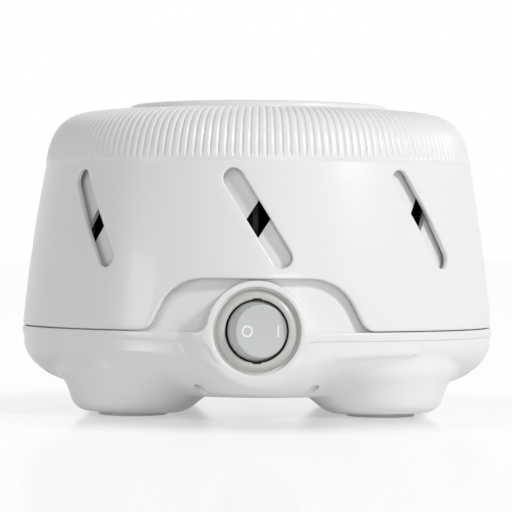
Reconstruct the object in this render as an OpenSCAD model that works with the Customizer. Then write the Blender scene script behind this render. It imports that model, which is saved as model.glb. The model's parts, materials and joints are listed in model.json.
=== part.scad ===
// Fan sound machine. A shaded-pole motor turns a fan inside a slotted drum, a slotted hood
// turns over the drum to tune the sound of the air, and a cap on top opens or shuts the inlet.
// Millimetres, +Z up, origin on the table below the centre. The switch faces -Y.

/* [Base] */
// Radius of the flange round the top of the base
rim_r = 73; // [71:0.5:76]
// Height of the base's top face above the table
deck_z = 25.6; // [25:0.2:27]
// Height of the rim flange
rim_h = 2.6; // [2:0.2:3.2]
// Step from the rim flange in to the bowl
rim_step = 0.45; // [0.3:0.05:0.8]
// Straight side of the bowl below the rim flange
bowl_side_h = 1.6; // [1:0.2:2.4]
// Width over which the bowl curves in to its floor
bowl_turn = 25; // [21:1:27]
// Height of the underside of the floor above the table
floor_z = 6.8; // [6.4:0.2:7.4]
// Wall thickness of the base
base_wall = 2.2; // [1.8:0.1:2.5]
// Width of the flat deck that carries the drum
deck_w = 11; // [9.5:0.5:12]
// Radius of the small blind holes beside the arches
dimple_r = 2.2; // [1.6:0.1:2.6]
// Distance of the small blind holes from the centre
dimple_ring_r = 63; // [62:0.5:64]
// Angle of each small blind hole from the middle of its arch
dimple_angle = 14.6; // [13.5:0.1:15.5]
// Height of the closed end of the small blind holes above the table
dimple_top_z = 11.6; // [11.2:0.1:12]

/* [Feet] */
// Distance between the centres of neighbouring feet
foot_pitch = 74; // [72:0.5:75]
// Radius of each foot above its rounded corner
foot_r = 18; // [17:0.25:18.5]
// Radius of the rounded corner round the bottom of each foot
foot_corner = 4.6; // [3.6:0.2:5]
// Flare of each foot where it runs up into the bowl
foot_flare = 0.8; // [0.4:0.1:1]
// Radius of each rubber pad
pad_r = 10.25; // [9:0.25:11]
// Thickness of each rubber pad
pad_h = 1.2; // [0.8:0.1:1.6]

/* [Switch pod] */
// Height of the switch centre above the table
switch_z = 26.06; // [25.5:0.02:26.5]
// Radius of the pod that carries the switch
pod_r = 14.46; // [14.2:0.02:14.6]
// How far the pod stands out past the rim
pod_proud = 1.5; // [1:0.1:2.5]
// Radius of the fillets between the pod and the deck
pod_fillet = 3.8; // [3:0.2:4]
// Radius of the recess in the front of the pod
recess_r = 12.6; // [12.4:0.1:13]
// Depth of the recess
recess_depth = 2.5; // [2.2:0.1:3]
// Thickness of the panel that the switch clips into
panel_t = 2.6; // [2:0.1:3]
// Depth of the pod from its front to its open back
pod_depth = 10.5; // [10:0.5:12]

/* [Switch] */
// Radius of the switch barrel, for a 20 mm panel hole
barrel_r = 9.9; // [9.8:0.02:9.94]
// Clearance between the barrel and its panel hole
barrel_fit = 0.12; // [0.05:0.01:0.2]
// Wall thickness of the barrel
barrel_wall = 0.9; // [0.8:0.05:1]
// Length of the barrel behind its bezel
barrel_len = 18; // [17:0.5:20]
// Thickness of the barrel's closed back
barrel_back = 4; // [3:0.25:4.5]
// Radius of the bezel
bezel_r = 11.9; // [11.5:0.05:12.2]
// Thickness of the bezel's flange
bezel_t = 2; // [1.8:0.1:2.2]
// Depth of the dish in the bezel
dish_depth = 1.6; // [1:0.1:1.7]
// Radius of the opening in the bezel
opening_r = 8.8; // [8.75:0.05:8.95]
// Radius of the rocker's face
rocker_face_r = 7.6; // [7:0.1:7.6]
// Distance from the rocker's pivot to its face
rocker_reach = 4.8; // [4:0.1:4.8]
// Depth of the hollow in the rocker's face
rocker_dish = 0.5; // [0.2:0.1:0.8]
// Radius of the round body of the rocker
rocker_body_r = 8.45; // [8:0.05:8.5]
// Tilt of the rocker each side of its middle position
rocker_tilt = 16; // [12:1:16]
// Distance from the bezel's opening back to the pivot
pivot_depth = 2.3; // [2.2:0.1:2.8]
// Radius of the rocker's pivot pins
pivot_pin_r = 1.1; // [0.8:0.1:1.2]
// Running clearance round small pins
pin_fit = 0.06; // [0.03:0.01:0.09]
// Radius of the sprung plunger
plunger_r = 1.25; // [1:0.05:1.4]
// Distance from the pivot to the tip of the plunger
plunger_reach = 9; // [8.6:0.1:9.2]
// Half length of the see-saw contact
bridge_half = 6.2; // [5.8:0.1:6.6]
// Thickness of the see-saw contact
bridge_t = 0.6; // [0.4:0.05:0.8]
// Radius of the bead behind the see-saw contact, on which it rocks
bead_r = 0.5; // [0.4:0.05:0.6]
// Tilt of the see-saw contact each side of its middle
bridge_tilt = 8; // [6:0.5:8]
// Gap left between the contacts
contact_gap = 0.2; // [0.1:0.05:0.3]
// Width of the terminal blades
blade_w = 6.3; // [4.8:0.1:6.3]
// Thickness of the terminal blades
blade_t = 0.8; // [0.5:0.05:0.9]
// Length of the terminal blades behind the barrel
blade_len = 7; // [6:0.5:8]

/* [Hood] */
// Wall thickness of the hood
hood_wall = 1.8; // [1.5:0.1:2]
// Gap between the hood and the drum
hood_gap = 1.2; // [1:0.1:1.4]
// Clearance under the hood's bottom edge
hood_lift = 0.3; // [0.2:0.05:0.5]
// Step from the rim flange in to the hood
hood_inset = 0.1; // [0:0.05:0.4]
// Radius of the hood where its smooth side ends
skirt_top_r = 65.95; // [65:0.05:67]
// Height of the lower edge of the ribbed band
skirt_top_z = 75.8; // [75:0.2:77]
// How far the smooth side swells past a straight cone
skirt_belly = 1.35; // [0.5:0.05:1.8]
// How far the ribbed band stands proud
band_proud = 0.25; // [0.15:0.05:0.4]
// Height of the hood's flat top
hood_top_z = 91.7; // [91:0.1:93]
// Radius at which the shoulder runs into the flat top
shoulder_r = 48.5; // [46:0.5:50]
// Radius of the hood's mouth under the cap
mouth_r = 38.5; // [38:0.1:39]
// Clearance of the turning hood round the drum's collar
turn_gap = 0.4; // [0.3:0.05:0.5]

/* [Slots] */
// Number of slots round the hood and the drum
slot_count = 8; // [6:1:8]
// Width of the hood's slots
slot_w = 6; // [5:0.25:7]
// Length of the hood's slots from end to end
slot_len = 33; // [28:0.5:34]
// Lean of the hood's slots from the vertical
slot_lean = 32; // [25:1:38]
// Height of the middle of the hood's slots
slot_z = 58.5; // [57.5:0.25:59]
// Width of the drum's slots
drum_slot_w = 5.8; // [5:0.2:7]
// Lean of the drum's slots, the other way
drum_slot_lean = 33; // [25:1:38]
// How much lower the drum's slots sit
drum_slot_drop = 0.7; // [0:0.1:1.2]

/* [Notch] */
// Height of the top of the hood's front notch
notch_top_z = 41; // [40.9:0.1:42]
// Half the width of the notch's flat top
notch_flat = 15.2; // [14.8:0.2:16]
// Radius of the notch's rounded top corners
notch_corner_r = 13.2; // [12.6:0.2:13.6]
// Lean of the notch's sides from the vertical
notch_lean = 34; // [30:1:36]
// Radius of the rounding where each side meets the bottom edge
notch_foot_r = 4.2; // [3:0.2:5]

/* [Drum] */
// Wall thickness of the drum
drum_wall = 1.6; // [1.3:0.1:1.8]
// Thickness of the drum's bottom flange
flange_t = 2; // [1.6:0.1:2.4]
// Inner radius of the drum's bottom flange
flange_in_r = 47.8; // [47:0.1:48]
// Clearance of the drum round the switch pod
pod_gap = 0.3; // [0.2:0.05:0.4]
// How far the collar plate lies below the hood's flat top
plate_drop = 0.5; // [0.3:0.05:0.7]
// Thickness of the collar plate
plate_t = 2; // [1.6:0.1:2.4]
// Width of the ledge in the collar that the plate rests on
plate_ledge = 1.5; // [1:0.1:2]
// Clearance of the plate in the collar
plate_fit = 0.1; // [0.05:0.05:0.2]
// Number of air openings in the plate and in the cap
vent_count = 6; // [4:1:8]
// Inner radius of the air openings
vent_in_r = 20; // [18:0.5:22]
// Outer radius of the air openings
vent_out_r = 30; // [27:0.5:32]
// Angle that each air opening takes up
vent_angle = 26; // [20:1:30]
// Radius of the boss under the plate
boss_r = 8; // [7.5:0.25:9]
// Length of the boss below the plate
boss_h = 3.2; // [3:0.2:4]

/* [Cap] */
// Radius of the cap
cap_r = 40.3; // [40:0.1:42]
// Height of the middle of the cap's crown above the hood's flat top
cap_rise = 2.8; // [2.7:0.1:3.7]
// Fall of the crown from its middle to its edge
cap_crown = 0.4; // [0.1:0.05:0.6]
// Radius of the cap's rounded edge
cap_edge_r = 1.5; // [1:0.1:1.5]
// Clearance under the cap
cap_lift = 0.3; // [0.2:0.05:0.35]
// Radius of the cap's stem
stem_r = 4; // [3.5:0.1:5]
// Running clearance round the stem
stem_fit = 0.08; // [0.04:0.01:0.09]
// Radius of the washer that holds the cap down
cap_washer_r = 7; // [6:0.25:7.5]
// Thickness of the washer that holds the cap down
cap_washer_t = 1; // [0.8:0.1:1.4]

/* [Screws] */
// Radius of the housing screws' shanks
screw_r = 1.45; // [1.2:0.05:1.6]
// Radius of the housing screws' heads
screw_head_r = 3.1; // [2.6:0.1:3.2]
// Height of the housing screws' heads
screw_head_h = 2.2; // [1.8:0.1:2.6]
// Length of the housing screws' shanks
screw_len = 8.5; // [7.5:0.25:9]
// Clearance round screws in their holes
screw_fit = 0.15; // [0.05:0.05:0.25]
// Outer radius of the screw towers in the feet
tower_r = 5.4; // [5.1:0.1:6]
// Thickness of plastic that each screw pulls on
tower_web = 3.6; // [3:0.2:4]
// Depth of the screw towers' tops below the deck
tower_drop = 6; // [5.5:0.25:7]
// Radius of the screw posts under the drum
post_r = 4.4; // [4:0.1:4.4]
// Radius of the cap screw's shank
cap_screw_r = 1.4; // [1.1:0.05:1.6]
// Length of the cap screw's shank
cap_screw_len = 6; // [5:0.25:6.5]

/* [Motor] */
// Height of the motor bosses above the floor
motor_boss_h = 4.4; // [4:0.2:5]
// Thickness of the rubber grommets
grommet_h = 4; // [3.6:0.2:4.4]
// Outer radius of the grommets and the motor bosses
grommet_r = 3.8; // [3.4:0.1:4]
// Distance of the motor's bolts from the shaft
bolt_y = 19.5; // [19.4:0.1:19.8]
// Radius of the motor's bolts
bolt_r = 1.9; // [1.6:0.1:2]
// Radius of the motor bolts' heads
bolt_head_r = 3.4; // [3.2:0.1:3.8]
// Height of the motor bolts' heads
bolt_head_h = 2.6; // [2.2:0.2:3]
// Thickness of the stack of laminations
stack_t = 14; // [12:0.5:15]
// Half the width of the laminations
stack_half = 24; // [23.6:0.2:24.6]
// Reach of the laminations on the rotor's side of the shaft
stack_back = 20; // [19:0.5:21]
// Reach of the laminations on the coil's side of the shaft
stack_front = 35; // [34.5:0.25:35.5]
// Start of the window that the coil stands in
window_x = 17.6; // [17:0.1:18]
// Half the width of the window
window_half = 14; // [13.8:0.1:14.4]
// Width of the core bar inside the coil
core_w = 9; // [8.4:0.1:9.2]
// Thickness of the bobbin's walls
bobbin_wall = 1.2; // [0.8:0.1:1.4]
// Depth of the winding on the bobbin
winding_t = 5.5; // [4.5:0.25:5.75]
// Height that the bobbin's flanges stand past the winding
bobbin_rim = 0.4; // [0.2:0.1:0.8]
// Air gap between the rotor and the laminations
air_gap = 0.4; // [0.3:0.05:0.6]
// Radius of the rotor
rotor_r = 12.5; // [12:0.1:12.6]
// Thickness of the bars of the shading rings
shade_t = 1.8; // [1.4:0.1:1.8]
// Inner leg of each shading ring, from the shaft
shade_near = 7.5; // [7.2:0.1:7.8]
// Outer leg of each shading ring, from the shaft
shade_far = 14.7; // [14.4:0.1:14.8]
// Distance of the shading rings from the middle of the stack
shade_y = 13.7; // [13.6:0.1:14]
// Clearance round the shading rings in their holes
shade_fit = 0.05; // [0.02:0.01:0.1]
// Thickness of the bearing brackets' metal
bracket_t = 2; // [1.6:0.1:2.2]
// Width of the bearing brackets
bracket_w = 11; // [10:0.5:11.5]
// How far each bracket's bridge stands off the laminations
bridge_rise = 7; // [6.6:0.2:7.4]
// Radius of each bracket's bearing cup
cup_r = 7.5; // [6.5:0.25:8]
// Length of each bearing cup and its bush
cup_h = 5.4; // [5:0.1:5.6]
// Radius of the bearing bushes
bush_r = 5; // [4.5:0.1:5.5]
// Radius of the shaft
shaft_r = 2.5; // [2:0.1:2.6]
// Running clearance of the shaft in its bushes
shaft_fit = 0.05; // [0.02:0.01:0.08]
// Clearance of pieces pressed on the shaft or into a seat
seat_fit = 0.02; // [0.01:0.01:0.04]
// Thickness of the thrust washers
washer_t = 0.6; // [0.4:0.1:0.8]
// Free play beside each thrust washer
washer_play = 0.15; // [0.1:0.05:0.2]

/* [Fan] */
// Radius of the fan
fan_r = 53; // [50:0.5:54]
// Height of the fan's blades
fan_h = 27; // [24:0.5:28]
// Clearance of the fan's hub above the upper bracket
fan_clear = 2; // [1.5:0.25:3]
// Thickness of the fan's plate, rings and blades
fan_t = 1.6; // [1.4:0.1:1.8]
// Number of blades
blade_count = 20; // [12:1:24]
// Inner radius of the blades
blade_in_r = 36; // [30:1:40]
// Angle that each blade sweeps through
blade_sweep = 18; // [8:1:24]
// Radius of the fan's hub
hub_r = 7; // [6:0.25:9]
// Height of the fan's hub
hub_h = 14; // [12:0.5:15]
// Length of shaft above the hub
shaft_over = 3; // [2:0.25:4]
// Radius of the clip that holds the fan on
clip_r = 6; // [5:0.25:6]
// Thickness of the clip that holds the fan on
clip_t = 0.8; // [0.6:0.1:1]

/* [Cord outlet] */
// Height of the cord outlet above the table
outlet_z = 16; // [15.6:0.1:16.4]
// Radius of the round boss behind the outlet
outlet_boss_r = 8; // [7.5:0.25:8.5]
// Depth of the boss from the rim line inwards
outlet_boss_depth = 7; // [6:0.5:8]
// Radius of the gland's barrel
gland_r = 5; // [4.5:0.1:5.2]
// Clearance of the gland in its hole
gland_fit = 0.1; // [0.05:0.05:0.2]
// Radius of the gland's outer flange
gland_flange_r = 6.4; // [6:0.1:6.6]
// Thickness of the gland's flanges
gland_flange_t = 1.6; // [1.2:0.1:2]
// Radius of the hole for the cord
gland_bore_r = 2.8; // [2.4:0.1:3.2]
// Radius of the gland's tip
gland_tip_r = 3.7; // [3.5:0.1:4]

/* [Wiring] */
// Radius of the insulated leads
lead_r = 0.9; // [0.7:0.05:1]
// Clearance of the leads' ends from what they join
lead_gap = 0.1; // [0.05:0.05:0.2]
// Length of the pieces the leads' curves are cut into
lead_step = 2.2; // [1.5:0.1:4]
// Radius of the crimp caps
crimp_r = 2.6; // [2:0.1:2.8]
// Length of the crimp caps
crimp_len = 12; // [10:0.5:13]
// Distance of the crimp caps' middles inside the edge of the flat floor
crimp_in = 3.55; // [3.05:0.05:6.55]

/* [Hidden] */
$fn = 96;
curve_steps = 8;
cut = 1;
white = "#f1f1ee";
switch_grey = "#cdcec9";
black = "#1c1c1d";
steel = "#b4b6b8";
brass = "#c9a75a";
copper = "#b8703c";

// Base
bowl_r = rim_r - rim_step;
bowl_top_z = deck_z - rim_h - bowl_side_h;
floor_top = floor_z + base_wall;
deck_in_r = rim_r - deck_w;
foot_at = foot_pitch / 2;
foot_top_z = bowl_top_z - bowl_side_h;
tower_top = deck_z - tower_drop;

// Switch, as distances out from the machine's axis
pod_front = rim_r + pod_proud;
panel_front = pod_front - recess_depth;
panel_back = panel_front - panel_t;
bezel_front = panel_front + bezel_t;
pivot_out = bezel_front - dish_depth - pivot_depth;
barrel_end = panel_front - barrel_len;
barrel_floor = barrel_end + barrel_back;
barrel_in_r = barrel_r - barrel_wall;
pod_step = 0.3;
pod_in_r = recess_r - pod_step;
bridge_out = pivot_out - plunger_reach - contact_gap - bridge_t / 2;
contact_inset = 0.7;
fixed_contact_x = bridge_half - contact_inset;
edge_bevel = 0.3;
bezel_land = 0.7;
waist_angle = 10;
nib_wall = 1.2;
plunger_len = plunger_reach / 2;
plunger_out = 3;
spring_seat = 1;

// Hood, drum and cap
hood_bottom_z = deck_z + hood_lift;
drum_inset = hood_wall + hood_gap;
drum_flat_z = hood_top_z - drum_inset;
collar_r = mouth_r - turn_gap;
plate_z = hood_top_z - plate_drop;
plate_r = collar_r - drum_wall;
cap_top_z = hood_top_z + cap_rise;
cap_under_z = plate_z + cap_lift;
boss_z = plate_z - plate_t - boss_h;
stem_end_z = boss_z - cap_lift;

// Motor, from the floor up
grommet_z = floor_top + motor_boss_h;
bracket_z = grommet_z + grommet_h;
stack_z = bracket_z + bracket_t;
stack_top = stack_z + stack_t;
coil_mid_z = stack_z + stack_t / 2;
core_x = stack_front - core_w;
bobbin_half = window_half - 0.4;
coil_build = bobbin_wall + winding_t + bobbin_rim;
bore_r = rotor_r + air_gap;
cup_low_z = stack_z - bridge_rise;
cup_high_z = stack_top + bridge_rise - cup_h;
fan_z = stack_top + bridge_rise + fan_clear;
hub_top = fan_z + hub_h;
shaft_under = 0.6;
shaft_low_z = cup_low_z - shaft_under;
gland_out = rim_r + gland_flange_t;
gland_tip = pivot_out + rocker_reach * cos(rocker_tilt) + rocker_face_r * sin(rocker_tilt);

// ---- Helpers ----

function arc(centre, r, from, to, steps = curve_steps) =
    [for (i = [0:steps]) let (a = from + (to - from) * i / steps) centre + r * [cos(a), sin(a)]];

function bezier2(a, b, c) =
    [for (i = [0:curve_steps]) let (t = i / curve_steps, s = 1 - t) s * s * a + 2 * s * t * b + t * t * c];

function bezier3(a, b, c, d) =
    [for (i = [0:curve_steps]) let (t = i / curve_steps, s = 1 - t)
        s * s * s * a + 3 * s * s * t * b + 3 * s * t * t * c + t * t * t * d];

function reversed(list) = [for (i = [len(list) - 1:-1:0]) list[i]];

function without_first(list) = [for (i = [1:len(list) - 1]) list[i]];

// A rod along Y from out = near to out = far, where out is measured towards the front,
// turned so that its surface starts and ends along its underside
module rod_out(r, near, far) {
    translate([0, -near, 0]) rotate([90, 0, 0]) rotate(-90) cylinder(r = r, h = far - near);
}

// A shape turned about the Y axis from points [radius, distance out]
module turned_out(points) {
    rotate([90, 0, 0]) rotate_extrude() polygon(points);
}

module ring(outer, inner, h) {
    rotate_extrude() polygon([[inner, 0], [outer, 0], [outer, h], [inner, h]]);
}

// The stadium outline of a slot, upright
module slot_outline(w, length) {
    reach = length / 2 - w / 2;
    polygon(concat(arc([0, reach], w / 2, 0, 180), arc([0, -reach], w / 2, 180, 360)));
}

module on_ring(count) {
    for (i = [0:count - 1]) rotate([0, 0, i * 360 / count]) children();
}

module at_feet() {
    for (x = [-1, 1], y = [-1, 1]) translate([x * foot_at, y * foot_at, 0]) children();
}

// ---- Profiles, as points [radius, height] ----

function bowl_side(wall) =
    [for (a = [0:10:90]) [
        bowl_r - bowl_turn + (bowl_turn - wall) * sin(a),
        bowl_top_z - (bowl_top_z - floor_z - wall) * cos(a)
    ]];

function skirt_side(inset) = let (low = [rim_r - hood_inset, hood_bottom_z], high = [skirt_top_r, skirt_top_z])
    [for (p = bezier2(low, (low + high) / 2 + [skirt_belly, 0], high)) p - [inset, 0]];

// The shoulder starts at the band's lower edge, leaning in a little, and ends on the flat top.
// Its handles shorten by the share of the inset that keeps the wall's thickness even
function shoulder(inset, proud) = let (
    start = [skirt_top_r + proud - inset, skirt_top_z],
    end = [shoulder_r, hood_top_z - inset],
    shorter = 0.55 * inset,
    rise = 0.9 * (hood_top_z - skirt_top_z) - shorter,
    run = 0.5 * (skirt_top_r - shoulder_r) - shorter,
    lean = 1.7
) bezier3(start, start + [-lean, rise], end + [run, 0], end);

function foot_side(wall) = concat(
    arc([foot_r - foot_corner, pad_h + foot_corner], foot_corner - wall, -90, 0, 6),
    [[foot_r + foot_flare - wall, foot_top_z]]
);

// The right half of the front notch, from the middle of its top to the bottom edge
function notch_side() = let (
    corner = arc([notch_flat, notch_top_z - notch_corner_r], notch_corner_r, 90, notch_lean),
    last = corner[len(corner) - 1],
    foot_start_z = hood_bottom_z + notch_foot_r * (1 - sin(notch_lean)),
    foot_x = last[0] + (last[1] - foot_start_z) * tan(notch_lean) + notch_foot_r * cos(notch_lean)
) concat(corner, arc([foot_x, hood_bottom_z + notch_foot_r], notch_foot_r, 180 + notch_lean, 270));

// The right half of the web that fillets the pod into the deck
function pod_web_side() = let (
    centre_z = deck_z + pod_fillet,
    centre_x = sqrt(pow(pod_r + pod_fillet, 2) - pow(centre_z - switch_z, 2)),
    lean = atan2(switch_z - centre_z, -centre_x)
) concat([[centre_x, deck_z - rim_h / 2]], arc([centre_x, centre_z], pod_fillet, 270, (lean + 360) % 360));

// ---- Base ----

module base_outside() {
    rotate_extrude() polygon(concat(
        [[0, floor_z]],
        bowl_side(0),
        [[bowl_r, deck_z - rim_h], [rim_r, deck_z - rim_h], [rim_r, deck_z], [0, deck_z]]
    ));
    at_feet() rotate_extrude() polygon(concat([[0, pad_h]], foot_side(0), [[0, foot_top_z]]));
    translate([0, 0, switch_z]) rod_out(pod_r, pod_front - pod_depth, pod_front);
    pod_web();
    translate([0, 0, outlet_z]) rotate([0, 0, 180])
        rod_out(outlet_boss_r, rim_r - outlet_boss_depth, rim_r);
}

module pod_web() {
    inner = rim_r - hood_inset - drum_inset + pod_gap;
    intersection() {
        for (side = [0, 1]) mirror([side, 0, 0])
            translate([0, -pod_front + pod_depth, 0]) rotate([90, 0, 0]) linear_extrude(pod_depth)
                polygon(concat([[0, switch_z], [0, deck_z - rim_h / 2]], pod_web_side()));
        translate([0, 0, deck_z - rim_h / 2]) ring(rim_r, inner, pod_r);
    }
}

module base_inside() {
    rotate_extrude() polygon(concat(
        [[0, floor_top]],
        bowl_side(base_wall),
        [[bowl_r - base_wall, deck_z - base_wall], [deck_in_r, deck_z - base_wall],
         [deck_in_r, deck_z + cut], [0, deck_z + cut]]
    ));
    at_feet() rotate_extrude()
        polygon(concat([[0, pad_h + base_wall]], foot_side(base_wall), [[0, foot_top_z]]));
}

module dimples() {
    for (arch = [0:3], side = [-1, 1]) rotate([0, 0, arch * 90 + side * dimple_angle])
        translate([0, -dimple_ring_r, 0]) cylinder(r = dimple_r, h = dimple_top_z);
}

// What stays solid inside the base: screw towers, motor bosses and the ends of the blind holes
module base_posts() {
    at_feet() cylinder(r = tower_r, h = tower_top);
    for (y = [-bolt_y, bolt_y]) translate([0, y, floor_z])
        cylinder(r = grommet_r, h = base_wall + motor_boss_h);
    for (arch = [0:3], side = [-1, 1]) rotate([0, 0, arch * 90 + side * dimple_angle])
        translate([0, -dimple_ring_r, 0])
            cylinder(r = dimple_r + base_wall / 2, h = dimple_top_z + base_wall);
}

module base_screw_holes() {
    at_feet() {
        translate([0, 0, pad_h - cut])
            cylinder(r = screw_head_r + screw_fit, h = tower_top - tower_web - pad_h + cut);
        translate([0, 0, pad_h]) cylinder(r = screw_r + screw_fit, h = tower_top + cut - pad_h);
    }
    for (y = [-bolt_y, bolt_y]) translate([0, y, floor_top])
        cylinder(r = bolt_r + screw_fit / 3, h = motor_boss_h + cut);
}

module base_shell() {
    color(white) difference() {
        base_outside();
        difference() {
            base_inside();
            base_posts();
        }
        translate([0, 0, switch_z]) {
            rod_out(recess_r, panel_front, pod_front + cut);
            rod_out(barrel_r + barrel_fit, panel_back - cut, panel_front + cut);
            rod_out(pod_in_r, deck_in_r - pod_depth, panel_back);
        }
        translate([0, 0, outlet_z]) rotate([0, 0, 180])
            rod_out(gland_r + gland_fit, rim_r - 2 * outlet_boss_depth, rim_r + cut);
        base_screw_holes();
        dimples();
    }
}

module foot_pad(index) {
    x = index % 2 == 1 ? -foot_at : foot_at;
    y = index < 3 ? -foot_at : foot_at;
    color("#dfe3e2") translate([x, y, 0]) cylinder(r = pad_r, h = pad_h);
}

module housing_screws() {
    seat = tower_top - tower_web;
    color(steel) at_feet() translate([0, 0, seat]) {
        cylinder(r = screw_r, h = screw_len);
        translate([0, 0, -screw_head_h]) cylinder(r = screw_head_r, h = screw_head_h);
    }
}

// ---- Hood, drum and cap ----

module slots(count, w, length, lean, z) {
    on_ring(count) translate([0, -collar_r, z]) rotate([90, 0, 0])
        linear_extrude(rim_r + cut - collar_r) rotate(lean) slot_outline(w, length);
}

module outer_hood() {
    lip_r = mouth_r + hood_wall;
    inner = concat(
        skirt_side(hood_wall),
        without_first(shoulder(hood_wall, 0)),
        [[lip_r, hood_top_z - hood_wall], [lip_r, drum_flat_z], [mouth_r, drum_flat_z]]
    );
    outer = concat([[mouth_r, hood_top_z]], reversed(shoulder(0, band_proud)), reversed(skirt_side(0)));
    color(white) difference() {
        rotate_extrude() polygon(concat(inner, outer));
        slots(slot_count, slot_w, slot_len, slot_lean, slot_z);
        for (side = [0, 1]) mirror([side, 0, 0]) rotate([90, 0, 0]) linear_extrude(rim_r + cut)
            polygon(concat([[-cut, hood_bottom_z - cut], [-cut, notch_top_z]], notch_side(),
                [[notch_side()[len(notch_side()) - 1][0], hood_bottom_z - cut]]));
    }
}

module vents(height) {
    on_ring(vent_count) linear_extrude(height) polygon(concat(
        arc([0, 0], vent_in_r, -vent_angle / 2, vent_angle / 2),
        arc([0, 0], vent_out_r, vent_angle / 2, -vent_angle / 2)
    ));
}

module inner_drum() {
    inset = drum_inset + drum_wall;
    seat_r = rim_r - hood_inset - drum_inset;
    outer = concat(
        [[flange_in_r, deck_z], [seat_r, deck_z]],
        skirt_side(drum_inset),
        without_first(shoulder(drum_inset, 0)),
        [[collar_r, drum_flat_z], [collar_r, plate_z], [plate_r, plate_z], [plate_r, plate_z - plate_t]]
    );
    inner = concat(
        [[plate_r - plate_ledge, plate_z - plate_t], [plate_r - plate_ledge, drum_flat_z - drum_wall]],
        reversed(shoulder(inset, 0)),
        [for (p = without_first(reversed(skirt_side(inset)))) if (p[1] > deck_z + flange_t) p],
        [[seat_r - drum_wall, deck_z + flange_t], [flange_in_r, deck_z + flange_t]]
    );
    color(white) difference() {
        union() {
            rotate_extrude() polygon(concat(outer, inner));
            at_feet() translate([0, 0, tower_top])
                cylinder(r = post_r, h = deck_z - tower_top + flange_t / 2);
        }
        slots(slot_count, drum_slot_w, slot_len, -drum_slot_lean, slot_z - drum_slot_drop);
        translate([0, 0, switch_z]) rod_out(pod_r + pod_gap, deck_in_r - 2 * pod_depth, rim_r + cut);
        at_feet() translate([0, 0, tower_top - cut])
            cylinder(r = screw_r + screw_fit / 3, h = screw_len - tower_web + 2 * cut);
    }
}

// The vented plate in the drum's collar, with the boss that the cap's stem turns in
module inlet_plate() {
    color(white) difference() {
        union() {
            translate([0, 0, plate_z - plate_t]) cylinder(r = plate_r - plate_fit, h = plate_t);
            translate([0, 0, boss_z]) cylinder(r = boss_r, h = boss_h + plate_t / 2);
        }
        translate([0, 0, boss_z - cut]) cylinder(r = stem_r + stem_fit, h = boss_h + plate_t + 2 * cut);
        translate([0, 0, plate_z - plate_t - cut]) vents(plate_t + 2 * cut);
    }
}

module top_cap() {
    edge_top = cap_top_z - cap_crown;
    rim_under = hood_top_z + cap_lift;
    color(white) difference() {
        union() {
            rotate_extrude() polygon(concat(
                [[0, cap_under_z], [collar_r - turn_gap, cap_under_z], [collar_r - turn_gap, rim_under],
                 [cap_r, rim_under]],
                arc([cap_r - cap_edge_r, edge_top - cap_edge_r], cap_edge_r, 0, 90),
                [[cap_r / 2, edge_top + 0.75 * cap_crown], [0, cap_top_z]]
            ));
            translate([0, 0, stem_end_z]) cylinder(r = stem_r, h = cap_under_z - stem_end_z + cut / 2);
        }
        translate([0, 0, cap_under_z - cut]) vents(cap_top_z - cap_under_z + 2 * cut);
        translate([0, 0, stem_end_z - cut]) cylinder(r = cap_screw_r + screw_fit / 3, h = cap_screw_len + cut);
    }
}

module cap_washer() {
    color(steel) translate([0, 0, stem_end_z - cap_washer_t])
        ring(cap_washer_r, cap_screw_r + screw_fit, cap_washer_t);
}

module cap_screw() {
    low = stem_end_z - cap_washer_t;
    color(steel) translate([0, 0, low]) {
        cylinder(r = cap_screw_r, h = cap_screw_len);
        translate([0, 0, -screw_head_h / 2]) cylinder(r = screw_head_r, h = screw_head_h / 2);
    }
}

// ---- Switch, drawn with the rocker's pivot at the origin where it tilts ----

module at_pivot(tilt) {
    translate([0, -pivot_out, switch_z]) rotate([0, 0, tilt]) children();
}

module switch_housing() {
    dish_out = bezel_front - dish_depth;
    lip_t = 0.5;
    tab_reach = (pod_in_r + barrel_r) / 2;
    color(switch_grey) translate([0, 0, switch_z]) difference() {
        union() {
            turned_out([
                [0, barrel_end], [barrel_r, barrel_end], [barrel_r, panel_front], [bezel_r, panel_front],
                [bezel_r, bezel_front - edge_bevel], [bezel_r - edge_bevel, bezel_front],
                [bezel_r - bezel_land, bezel_front], [opening_r + bezel_land, dish_out + edge_bevel],
                [opening_r, dish_out], [0, dish_out]
            ]);
            for (side = [0, 180]) rotate([0, side, 0]) translate([0, -panel_back + contact_gap, 0])
                linear_extrude(blade_w, center = true)
                    polygon([[barrel_in_r, 0], [tab_reach, 0], [barrel_r, panel_t], [barrel_in_r, panel_t]]);
        }
        rod_out(barrel_in_r, barrel_floor, dish_out - lip_t);
        rod_out(opening_r, dish_out - cut, bezel_front + cut);
        translate([0, -pivot_out, -barrel_r - cut])
            cylinder(r = pivot_pin_r + pin_fit, h = 2 * barrel_r + 2 * cut);
        for (x = [0, -fixed_contact_x]) translate([x, -barrel_end - barrel_back / 2, 0])
            cube([blade_t + 2 * seat_fit, barrel_back + 2 * cut, blade_w + 2 * seat_fit], center = true);
    }
}

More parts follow.
